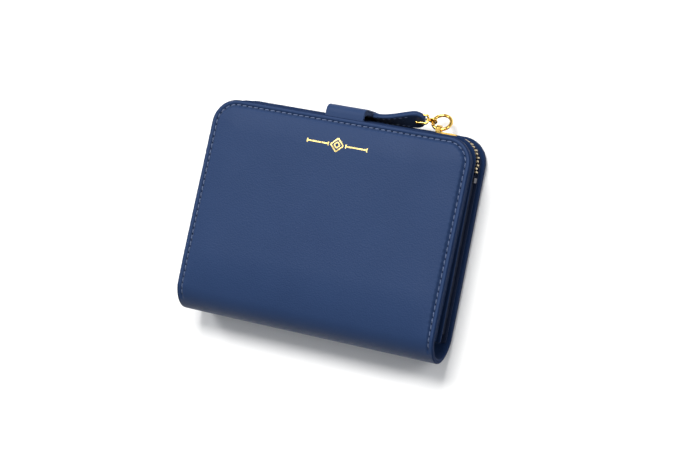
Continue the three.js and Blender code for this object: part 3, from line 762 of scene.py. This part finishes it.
def plate(parts, lines, w0, w1, place, edge=0.18, crease=1.3, depth=0.14, material=0):
    """A thin panel with round edges and a creased line. lines(extra) is its outline moved inwards."""
    rings = [(crease + 0.7, w0), (crease + 0.35, w0 + depth), (crease, w0), (edge, w0)]
    rings += [(edge * 0.3, w0 + edge * 0.3), (0, w0 + edge), (0, (w0 + w1) / 2), (0, w1 - edge)]
    rings += [(edge * 0.3, w1 - edge * 0.3), (edge, w1)]
    rings += [(crease, w1), (crease + 0.35, w1 - depth), (crease + 0.7, w1)]
    loops = []
    for extra, w in rings:
        p = lines(extra)
        loops.append(place(p[:, 0], p[:, 1], np.full(len(p), w)))
    parts.add(*loft(loops), material=material)


def leaf_outline(y0, y1, inset, radius):
    return lambda extra: outline(y0, y1, inset, radius, extra)


def panel_surface(place, w, sign):
    return lambda x, v, lift: place(x, v, w + sign * (lift - 0.08))


FOLD_REACH = 3.4  # the soft panels run this much nearer the fold than their exact shapes
PANEL_START = 2.4 - FOLD_REACH
PANEL_END = FRONT_LENGTH - 0.6
BAR_HALF, BAR_INNER, BAR_TOP = 56.7, 51.7, 68.5  # the folded edges inside the front panel


def make_panels():
    """The flat panels of both halves, the card slots and the coin pocket's gusset."""
    row = lambda n: [c / MM for c in (*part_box(n)[0], *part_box(n)[1])]
    # front half, drawn in the front leaf's own frame
    lining = Parts()
    lines = leaf_outline(PANEL_START, PANEL_END, 0.6, CORNER_R)
    plate(lining, lines, -1.1, -0.3, to_front)
    piece = lining.build("bill_lining", [LINING], 30)
    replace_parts(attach(piece, "front_half"), "bill_pocket_lining")

    panel = Parts()
    plate(panel, lines, -2.9, -2.1, to_front, edge=0.3)
    for x0, x1, y0, y1 in (
        (-BAR_HALF, -BAR_INNER, 9, BAR_TOP),
        (BAR_INNER, BAR_HALF, 9, BAR_TOP),
        (-BAR_HALF, BAR_HALF, 2.6 - FOLD_REACH, 7.2),
    ):
        bar = lambda e, x0=x0, x1=x1, y0=y0, y1=y1: np.array(
            [(x0 + e, y0 + e), (x1 - e, y0 + e), (x1 - e, y1 - e), (x0 + e, y1 - e)]
        )
        plate(panel, bar, -2.15, -1.42, to_front, edge=0.2, crease=1.0, depth=0)
    at, total = seam_line(PANEL_END, 2.3, 6)
    seam = Parts()
    stitch_parts(seam, at, total, panel_surface(to_front, -2.9, -1), radius=0.2)
    for k, top in enumerate((62, 50, 38)):
        slot_panel = Parts()
        to = -2.9 - 0.2 - k * 0.8
        plate(slot_panel, leaf_outline(PANEL_START, top, 3, 4.5), to - 0.6, to, to_front)
        piece = slot_panel.build(f"front_card_slot_{k + 1}", [INNER], 30)
        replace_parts(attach(piece, "front_half"), f"card_slot_front_{k + 1}")
    piece = panel.build("front_panel", [INNER], 30)
    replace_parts(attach(piece, "front_half"), "front_inner_panel")
    piece = seam.build("front_panel_seam", [THREAD, HOLE_SHADE])
    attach(piece, "front_half")

    # back half, drawn in the row frame
    for node, name, inset, radius, material, slot_name in (
        ("coin_pocket_lining", "coin_lining", 1.2, CORNER_R, LINING, "lining"),
        ("partition_panel", "partition_leather", 1.0, CORNER_R, INNER, "inner_leather"),
        ("card_slot_back_1", "back_card_slot_1", 3.0, 4.5, INNER, "inner_leather"),
        ("card_slot_back_2", "back_card_slot_2", 3.0, 4.5, INNER, "inner_leather"),
        ("card_slot_back_3", "back_card_slot_3", 3.0, 4.5, INNER, "inner_leather"),
    ):
        b = row(node)
        parts = Parts()
        edge = 0.2 if b[5] - b[2] < 1 else 0.4
        plate(parts, leaf_outline(b[1] - FOLD_REACH, b[4], inset, radius), b[2], b[5], plain, edge)
        piece = parts.build(name, [material], 30)
        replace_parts(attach(piece, "back_half"), node)
    b = row("partition_panel")
    seam = Parts()
    at, total = seam_line(b[4] - STACK_Y, 3.0, 6)
    shifted = lambda x, v, lift: plain(x, v + STACK_Y, b[5] + lift - 0.08)
    stitch_parts(seam, at, total, shifted, radius=0.2, keep=lambda x, v: v > 4)
    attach(seam.build("partition_seam", [THREAD, HOLE_SHADE]), "back_half")
    b = row("coin_pocket_floor")
    gusset = Parts()
    loops = []
    for x in np.linspace(b[0], b[3], 60):
        wave = 0.08 * math.sin(x * 0.9) + 0.05 * math.sin(x * 2.3 + 1)
        y0, y1 = b[1] + 0.05 + wave * 0.5, b[4] - 0.05 + wave * 0.5
        z = np.linspace(b[2], b[5], 9)
        fold = 0.25 * np.cos((z - b[2]) / (b[5] - b[2]) * 2 * math.pi) - 0.25
        near = [(x, y0 - f * 0.3, q) for f, q in zip(fold, z)]
        far = [(x, y1 - f * 0.3, q) for f, q in zip(fold[::-1], z[::-1])]
        loops.append(np.array(near + far))
    gusset.add(*loft(loops))
    piece = gusset.build("coin_gusset", [TAPE], 30)
    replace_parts(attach(piece, "back_half"), "coin_pocket_floor")


# ---------- zip
BAND_INSET = 2.4  # the chain lies this far inside the cover's edge
ZIP_DOWN = 5.0  # how far the chain runs down each side past the corner
TOOTH_PITCH = 2.8  # on one row; the other row is half a pitch on
ZIP_END = 1.6  # first tooth from the chain's end
SLIDER_AHEAD = 3.8  # the slider's middle, from the ring's bail
CORD_R, CORD_OUT, CORD_UP = 0.4, 0.28, 0.72


def chain_point(distance):
    """Point and outward direction on the chain, from the end on the left side."""
    r = CORNER_R - BAND_INSET
    side, top = HALF - BAND_INSET, CLOSURE - BAND_INSET
    quarter, run = math.pi / 2 * r, 2 * (HALF - BAND_INSET - r)
    left = distance - ZIP_DOWN
    if left < 0:
        return -side, top - r + left, math.pi
    if left < quarter:
        a = math.pi - left / r
        return -side + r + r * math.cos(a), top - r + r * math.sin(a), a
    left -= quarter
    if left < run:
        return -side + r + left, top, math.pi / 2
    left -= run
    if left < quarter:
        a = math.pi / 2 - left / r
        return side - r + r * math.cos(a), top - r + r * math.sin(a), a
    return side, top - r - (left - quarter), 0.0


CHAIN = 2 * ZIP_DOWN + math.pi * (CORNER_R - BAND_INSET) + 2 * (HALF - CORNER_R)


def band_stations(start, end, step=1.1):
    """Points along the chain's line, at most a little over a step apart."""
    return [chain_point(d) for d in np.linspace(start, end, int((end - start) / step))]


def swept(stations, section):
    """Sweeps (outward, z) section points along the chain's line."""
    loops = []
    for k, (x, y, a) in enumerate(stations):
        s = section(k)
        loops.append(np.array([(x + n * math.cos(a), y + n * math.sin(a), z) for n, z in s]))
    return loft(loops)


def tape_section(z0, z1):
    """A woven tape's cut: thin, round-edged, with a few raised ribs."""

    def section(k):
        sway = 0.04 * math.sin(k * 0.7) + 0.03 * math.sin(k * 1.9)
        zs = np.linspace(z0 + 0.05, z1 - 0.05, 15)
        ribs = 0.05 * np.cos((zs - z0) * 2 * math.pi / 0.62)
        outer = [(-0.12 + r + sway, z) for r, z in zip(ribs, zs)]
        inner = [(-0.62 - r + sway, z) for r, z in zip(ribs[::-1], zs[::-1])]
        return [*outer, (-0.37 + sway, z1), *inner, (-0.37 + sway, z0)]

    return section


def tooth_template(z0, z1):
    """A cast tooth: a chamfered block, wider at its head. Coordinates: outward, along, z."""
    loops = []
    for z, along, out in (
        (z0, 0.30, 0.42),
        (z0 + 0.12 * np.sign(z1 - z0), 0.40, 0.52),
        ((z0 + z1) / 2, 0.40, 0.52),
        (z1 - 0.45 * np.sign(z1 - z0), 0.36, 0.50),
        (z1 - 0.12 * np.sign(z1 - z0), 0.48, 0.50),
        (z1, 0.36, 0.40),
    ):
        c = 0.14
        ring = [(out, along - c), (out - c, along), (-out + c, along), (-out, along - c)]
        ring += [(-out, -along + c), (-out + c, -along), (out - c, -along), (out, -along + c)]
        loops.append(np.array([(n + 0.8, t, z) for n, t in ring]))
    return loft(loops)


def make_zip():
    """Two woven tapes, two rows of teeth on their cords, the slider and the stops."""
    start = -(CLOSURE - CORNER_R - ZIP_DOWN - STACK_Y)
    stations = band_stations(start, CHAIN - start)
    for node, name in (("zip_tape_back", "back_tape"), ("zip_tape_front", "front_tape")):
        z0, z1 = (c.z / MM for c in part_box(node))
        parts = Parts()
        parts.add(*swept(stations, tape_section(z0, z1)))
        piece = parts.build(name, [TAPE])
        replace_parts(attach(piece, "back_half"), node)
    slider_x = JOINTS["ring_rock"]["pos_m"][0] / MM + SLIDER_AHEAD
    turns = np.arange(10) * math.pi / 5
    for sign, offset, node, name in (
        (-1, 0, "zip_teeth_back", "back_teeth"),
        (1, TOOTH_PITCH / 2, "zip_teeth_front", "front_teeth"),
    ):
        parts = Parts()
        near = BAND_MID + sign * 0.7
        middle = near + sign * CORD_UP
        cord = [(CORD_OUT + CORD_R * math.cos(t), middle + CORD_R * math.sin(t)) for t in turns]
        parts.add(*swept(band_stations(0.2, CHAIN - 0.2), lambda k, cord=cord: cord), material=1)
        d = ZIP_END + offset
        while d < CHAIN - ZIP_END:
            x, y, a = chain_point(d)
            meshed = y > CLOSURE - CORNER_R * 3 and x > slider_x - 1
            reach = BAND_MID - sign * 0.5 if meshed else near
            points, faces = tooth_template(near + sign * 0.95, reach)
            n, t, z = points.T
            c, s = math.cos(a), math.sin(a)
            parts.add(np.stack([x + n * c - t * s, y + n * s + t * c, z], -1), faces, material=0)
            d += TOOTH_PITCH
        piece = parts.build(name, [TEETH, TAPE], 35)
        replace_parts(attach(piece, "back_half"), node)
    for node in ("zip_slider", "snap_socket", "snap_stud"):
        dress(node, GOLD, 0.14)
    # The stops take the dark painted shade material.
    for node in ("zip_stop_left", "zip_stop_right"):
        dress(node, STOP_SHADE, 0.14)


def dress(node, material, width):
    """Gives an exact CAD node its material and a small bevel."""
    obj = frame["nodes"][node]
    obj.data.materials.clear()
    obj.data.materials.append(material)
    soften(obj, width)


# ---------- ring, clasp and leather puller
RING_WIRE, EYE_R, EYE_WIRE = 0.72, 1.3, 0.48
NECK_R, PRONG_R, PRONG_TIP, PRONG_OUT = 0.7, 0.55, 0.7, 1.65
PULLER_HALF, PULLER_FLARE, PULLER_THICK, PULLER_ROUND = 3.4, 0.6, 0.95, 4.0


def puller_mid(x):
    """Height of the strip's middle: it rises towards the ring."""
    return CLOSURE + 1.28 + 2.62 * float(smooth(x, 12, 34))


def puller_slope(x):
    """The strip twists as it nears the ring: its front edge stands higher than its back edge."""
    return math.tan(math.radians(8 + 22 * float(smooth(x, 8, 28))))


def twisted(x, y, z):
    """A point of the strip, leant over by its twist."""
    return np.array([x, y + (z - BAND_MID) * puller_slope(x), z])


def make_pull():
    """The ring on the slider's bail, the clasp with its two prongs, and the leather strip they hold."""
    bail = np.array(JOINTS["ring_rock"]["pos_m"]) / MM
    hold = np.array(JOINTS["puller_swing"]["pos_m"]) / MM
    radius = bail[0] - hold[0]
    centre = hold + np.array([radius, 0, 0])
    up = (centre - bail) / radius
    ring = Parts()
    a = np.linspace(0, 2 * math.pi, 72, endpoint=False)
    path = centre + radius * (np.outer(np.cos(a), [1, 0, 0]) + np.outer(np.sin(a), up))
    ring.add(*tube(path, RING_WIRE, 18, closed=True))
    piece = ring.build("ring_wire", [GOLD])
    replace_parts(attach(piece, "ring"), "pull_ring")

    lo, hi = (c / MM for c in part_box("puller_leather"))
    end = hi.x
    clasp = Parts()
    side = np.array([1.0, 0, 0])
    other = np.cross(up, side)
    a = np.linspace(0, 2 * math.pi, 40, endpoint=False)
    eye = hold + EYE_R * (np.outer(np.cos(a), side) + np.outer(np.sin(a), other))
    clasp.add(*tube(eye, EYE_WIRE, 14, closed=True))
    neck = hold - np.array([EYE_R, 0, 0])
    fork = np.array([end + 0.8, puller_mid(32) + 0.1, BAND_MID - 0.4])
    clasp.add(*capped(curve([neck, (neck + fork) / 2 + [0, 0.1, 0], fork], 6), NECK_R, 14))
    for sign in (1, -1):
        tip_x = end - (4 if sign > 0 else 2.6)
        root = fork + np.array([-0.3, sign * PRONG_OUT, 0.3])
        tip = twisted(tip_x, puller_mid(tip_x) + sign * PRONG_OUT, BAND_MID + 0.6)
        bend = fork + np.array([0.15, sign * 1.0, 0.1])
        clasp.add(*capped(curve([fork, bend, root, (root * 2 + tip) / 3, tip], 6), PRONG_R, 14))
        ball = [tip + np.array([0, sign * 0.05, 0]) + t * np.array([-0.5, 0, 0.25]) for t in (0, 0.5, 1)]
        clasp.add(*capped(ball, PRONG_TIP, 14))
    piece = clasp.build("puller_fork", [GOLD])
    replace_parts(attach(piece, "puller"), "puller_clasp")

    parts = Parts()
    round_from = end - PULLER_ROUND
    xs = [*np.linspace(lo.x, round_from, 34)]
    xs += [*(round_from + PULLER_ROUND * np.sin(np.linspace(0, math.pi / 2, 12))[1:])]
    loops = []
    for x in xs:
        half = PULLER_HALF + PULLER_FLARE * float(ramp(x, lo.x, end - 5))
        if x > round_from:
            half = max(math.sqrt(max(PULLER_ROUND**2 - (x - end + PULLER_ROUND) ** 2, 0)), 0.25)
        cut = band_section(half, PULLER_THICK)
        loops.append(np.array([twisted(x, puller_mid(x) + w, BAND_MID - u) for u, w in cut]))
    parts.add(*loft(loops))
    piece = parts.build("puller_strip", [OUTER])
    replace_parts(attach(piece, "puller"), "puller_leather")
    fold = Parts()
    for sign in (1, -1):
        surface = lambda x, v, lift: twisted(x, puller_mid(x) + sign * (0.86 + lift), BAND_MID + v)
        for side_ in (-1, 1):
            line = lambda s, side_=side_: (lo.x + 1.2 + s, side_ * (2.5 + 0.5 * s / 20))
            run = end - 7.5 - lo.x
            stitch_parts(fold, line, run, surface, pitch=2.1, length=1.5, radius=0.17, slant=0.05)
    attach(fold.build("puller_seam", [THREAD, HOLE_SHADE]), "puller")


def band_section(half, thick, notch=0.16):
    """The cut of a doubled leather strip: rounded edges with a fine line where the two layers meet."""
    e = min(0.35, half * 0.4, thick * 0.4)
    notch = min(notch, half * 0.2)
    low = [(half - 3 * e, -thick), (half - e, -thick), (half - 0.3 * e, -thick + 0.3 * e), (half, -thick + e)]
    low += [(half, -0.16)]
    right = [*low, (half - notch, 0), *[(u, -w) for u, w in reversed(low)]]
    if half < 1.2:
        right = [p if abs(p[0]) <= half and p[0] > 0 else (half * 0.3, p[1]) for p in right]
    return [*right, *[(-u, w) for u, w in reversed(right)]]


# ---------- strap and snap
STRAP_HALF = 8.5
STRAP_BEND = 2.3  # radius of its two bends round the closure edge
STRAP_SEAM = 1.7  # distance of its seam from the edge
STRAP_ROUND = 6.0  # radius of the end's corners
STRAP_THICK = 0.75
STRAP_LINING = 1.0  # extra thickness on the inner side where the strap passes over the zip


def strap_path():
    """Middle line of the strap (y, z) with the direction of its outer side."""
    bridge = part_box("strap_bridge")
    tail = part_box("strap_tail")
    outer = bridge[1].y / MM
    line = outer - STRAP_THICK
    crest = (bridge[1].z / MM) - STRAP_THICK
    low = tail[0].z / MM + STRAP_THICK
    end = tail[0].y / MM
    root = to_front(0.0, FRONT_LENGTH - 3.6, 0.9)[1:]
    leave = to_front(0.0, FRONT_LENGTH + 0.4, 0.9)[1:]
    r = STRAP_BEND
    drop = low + r - crest + r
    quarter = np.linspace(0, math.pi / 2, 8)
    points = [root, (root + leave) / 2, leave, (line - r, crest)]
    points += [(line - r + r * math.sin(a), crest - r + r * math.cos(a)) for a in quarter[1:]]
    straight = np.linspace(0, 1, 9)[1:-1]
    points += [(line + 0.12 * math.sin(t * math.pi), crest - r + drop * t) for t in straight]
    points += [(line - r + r * math.cos(a), low + r - r * math.sin(a)) for a in quarter]
    points += [(y, low) for y in np.linspace(line - r, end, 14)[1:]]
    return np.array(points), crest, low, line, leave


def resample(points, step):
    """The same line with points at even distances."""
    gaps = np.linalg.norm(np.diff(points, axis=0), axis=1)
    s = np.concatenate([[0], np.cumsum(gaps)])
    at = np.linspace(0, s[-1], int(s[-1] / step))
    return np.stack([np.interp(at, s, points[:, 0]), np.interp(at, s, points[:, 1])], -1)


def make_strap():
    """The strap in two pieces, the seam round its end, and the snap's cap."""
    points, crest, low, line, leave = strap_path()
    fine = resample(points, 0.4)
    for _ in range(3):
        fine[1:-1] = (fine[:-2] + 2 * fine[1:-1] + fine[2:]) / 4
    tangent = np.gradient(fine, axis=0)
    tangent /= np.linalg.norm(tangent, axis=1)[:, None]
    outward = np.stack([-tangent[:, 1], tangent[:, 0]], -1)
    length = np.concatenate([[0], np.cumsum(np.linalg.norm(np.diff(fine, axis=0), axis=1))])
    total = length[-1]

    def half_at(s):
        r = STRAP_ROUND
        left = total - s
        return STRAP_HALF if left > r else STRAP_HALF - r + math.sqrt(max(r * r - (r - left) ** 2, 0.04))

    def loop(i):
        p, o = fine[i], outward[i]
        over = float(smooth(length[i], out, out + 2.5) * (1 - smooth(length[i], low_turn - 3.5, low_turn)))
        section = band_section(half_at(length[i]), STRAP_THICK, 0.12)
        section = [(u, w - STRAP_LINING * over if w < 0 else w) for u, w in section]
        return np.array([(u, p[0] + o[0] * w, p[1] + o[1] * w) for u, w in section])

    cut = int(np.argmin(np.abs(fine[:, 1] - 11) + 100 * (fine[:, 0] < line - 2)))
    out = length[np.argmin(np.abs(fine[:, 0] - leave[0]) + 100 * (fine[:, 1] < 15))] + 1.2
    low_turn = length[np.argmin(np.abs(fine[:, 1] - low) + np.abs(fine[:, 0] - line + STRAP_BEND))]

    def surface(x, s, lift):
        i = int(np.clip(np.searchsorted(length, s), 0, len(fine) - 1))
        w = STRAP_THICK - 0.14 + lift
        return np.array([x, fine[i][0] + outward[i][0] * w, fine[i][1] + outward[i][1] * w])

    def seam(name, s0, s1):
        parts = Parts()
        r = STRAP_HALF - STRAP_SEAM
        size = {"pitch": 2.4, "length": 1.7, "radius": 0.2, "slant": 0.08}
        for side in (-1, 1):
            stitch_parts(parts, lambda s, side=side: (side * r, s0 + s), s1 - s0, surface, **size)
        corner = 4.3
        flat = lambda s: (-r + corner + s, s1 + 3.6)
        stitch_parts(parts, flat, 2 * r - 2 * corner, surface, **size)
        return parts.build(name, [THREAD, HOLE_SHADE])

    pieces = []
    front = Parts()
    front.add(*loft([loop(i) for i in range(0, cut + 1)]))
    pieces.append((front.build("strap_arch", [OUTER]), ("strap_root", "strap_bridge")))
    back = Parts()
    back.add(*loft([loop(i) for i in range(cut, len(fine))]))
    pieces.append((back.build("strap_end_leather", [OUTER]), ("strap_tail",)))
    pieces.append((seam("strap_end_seam", low_turn + 1, total - 5.6), ()))
    lift = [0, leave[0] - 0.2, leave[1]], [0, line, crest - 2.0]
    turn = [0, line, low + 4.2], [0, line - 3.0, low]
    for k, (piece, nodes) in enumerate(pieces):
        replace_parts(piece, *nodes)
        s, e = lift if k == 0 else turn
        tuple(c * MM for c in s)
        tuple(c * MM for c in e)
        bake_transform(piece)

    snap_y = (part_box("snap_cap")[0].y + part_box("snap_cap")[1].y) / 2 / MM
    cap = Parts()
    face = [(0.02, 0.0), (2.2, 0.02), (3.5, 0.08), (4.1, 0.16), (4.3, 0.24), (4.5, 0.2), (4.9, 0.24)]
    rim = [(5.25, 0.36), (5.4, 0.52), (5.38, 0.66), (5.2, 0.7)]
    profile = [*face, *rim, (1.1, 0.7), (1.1, 1.9), (0.02, 1.9)]
    cap.add(*lathe(profile, snap_y))
    piece = cap.build("snap_button", [GOLD], 50)
    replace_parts(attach(piece, "strap_end"), "snap_cap")


# ---------- foil ornament on the front
FOIL_X, FOIL_V = 1.1, 68.9


def make_foil():
    """A diamond in a diamond between two barred lines."""
    x0, v0 = FOIL_X, FOIL_V
    parts = Parts()

    def strip(a, b, width, n=12):
        a, b = np.array(a, float), np.array(b, float)
        side = np.array([-(b - a)[1], (b - a)[0]]) / np.linalg.norm(b - a)
        top, low = [], []
        for t in np.linspace(0, 1, n):
            p = a + (b - a) * t
            taper = width / 2
            for k, lift in ((top, 0.035), (low, -0.05)):
                for s in (-1, 1):
                    q = p + side * s * taper
                    h = float(cover_height(q[0], q[1], edge_distance(*q), FRONT_LENGTH, False)) + lift
                    k.append(to_front(q[0], q[1], h))
        loops = [np.array([top[2 * i], top[2 * i + 1], low[2 * i + 1], low[2 * i]]) for i in range(n)]
        parts.add(*loft(loops))

    for size, width in ((2.8, 0.55), (1.3, 0.5)):
        corners = [(x0 - size, v0), (x0, v0 + size), (x0 + size, v0), (x0, v0 - size)]
        for k in range(4):
            strip(corners[k], corners[(k + 1) % 4], width, 5)
    for sign in (-1, 1):
        strip((x0 + sign * 3.9, v0), (x0 + sign * 13.2, v0), 0.6)
        for at in (3.9, 13.2):
            strip((x0 + sign * at, v0 - 0.8), (x0 + sign * at, v0 + 0.8), 0.5, 4)
    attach(parts.build("foil_ornament", [FOIL], 30), "front_half")


def edge_distance(x, v):
    """Distance of a point on the front leaf from the nearest edge."""
    qx, qy = abs(x) - (HALF - CORNER_R), v - (FRONT_LENGTH - CORNER_R)
    outside = math.hypot(max(qx, 0), max(qy, 0))
    return CORNER_R - outside - min(max(qx, qy), 0)


# ---------- floor, light and camera
WORLD = 0.30
LIGHTS = [  # name, place, size, power, colour
    ("key", (-0.03, 0.62, 1.1), 0.55, 16.0, (1.0, 0.99, 0.97)),
    ("left", (-0.75, 0.4, 0.8), 0.4, 4.5, (1, 1, 1)),
    ("right", (0.85, 0.35, 0.7), 0.4, 3.5, (1, 1, 1)),
    ("top", (0.0, 0.1, 1.6), 1.2, 3.0, (1, 1, 1)),
]
CAMERA = {"azimuth": 21.369, "elevation": 0.718, "roll": 11.015, "distance": 699.13, "lens": 87.146}
CAMERA_SHIFT = (8.625, -1.476)


def make_stage():
    """A white floor, a pale surround and four soft lights."""
    n = Nodes("floor")
    tone = n.spread(n.noise(3.0, 2), 0, 1, 0.90, 0.92)
    grey = n.node("ShaderNodeCombineColor", {"Red": tone, "Green": tone, "Blue": tone}).outputs["Color"]
    n.set(Base_Color=grey)
    n.set(Roughness=0.9, Specular_IOR_Level=0.1)
    size = 3000.0
    ring = [(-size, -size, 0), (size, -size, 0), (size, size, 0), (-size, size, 0)]
    floor = new_mesh("floor", np.array(ring), [(0, 1, 2, 3)], [n.material])

    world = bpy.data.worlds.new("studio")
    world.use_nodes = True
    world.node_tree.nodes["Background"].inputs["Color"].default_value = (0.93, 0.96, 1.0, 1)
    world.node_tree.nodes["Background"].inputs["Strength"].default_value = WORLD
    bpy.context.scene.world = world
    for name, place, size, power, colour in LIGHTS:
        data = bpy.data.lights.new(name, "AREA")
        data.shape = "DISK"
        data.size = size
        data.energy = power
        data.color = colour
        light = bpy.data.objects.new(name, data)
        light.location = place
        light.rotation_euler = (Vector((0, 0, 0.01)) - light.location).to_track_quat("-Z", "Y").to_euler()
        bpy.context.scene.collection.objects.link(light)
    bpy.context.scene.view_settings.view_transform = "Standard"


def make_camera():
    """The photograph's view: seen from above and to the right, turned clockwise."""
    az, el, roll = (math.radians(CAMERA[k]) for k in ("azimuth", "elevation", "roll"))
    away = Vector((math.sin(az) * math.cos(el), math.sin(el), math.cos(az) * math.cos(el)))
    right = Vector((0, 1, 0)).cross(away).normalized()
    up = away.cross(right)
    x = right * math.cos(roll) + up * math.sin(roll)
    y = up * math.cos(roll) - right * math.sin(roll)
    target = Vector((0, FOLDS[0][0] + 35, 14))
    data = bpy.data.cameras.new("camera")
    data.lens = CAMERA["lens"]
    data.sensor_width = 36
    data.clip_start = 0.01
    camera = bpy.data.objects.new("camera", data)
    matrix = camera.matrix_world.to_3x3()
    matrix.col[0], matrix.col[1], matrix.col[2] = x, y, away
    camera.matrix_world = matrix.to_4x4()
    aside, above = CAMERA_SHIFT
    camera.location = (target + away * CAMERA["distance"] + x * aside + y * above) * MM
    bpy.context.scene.collection.objects.link(camera)
    bpy.context.scene.camera = camera


make_shell()
make_seams()
make_panels()
make_zip()
make_pull()
make_strap()
make_foil()
make_stage()
make_camera()
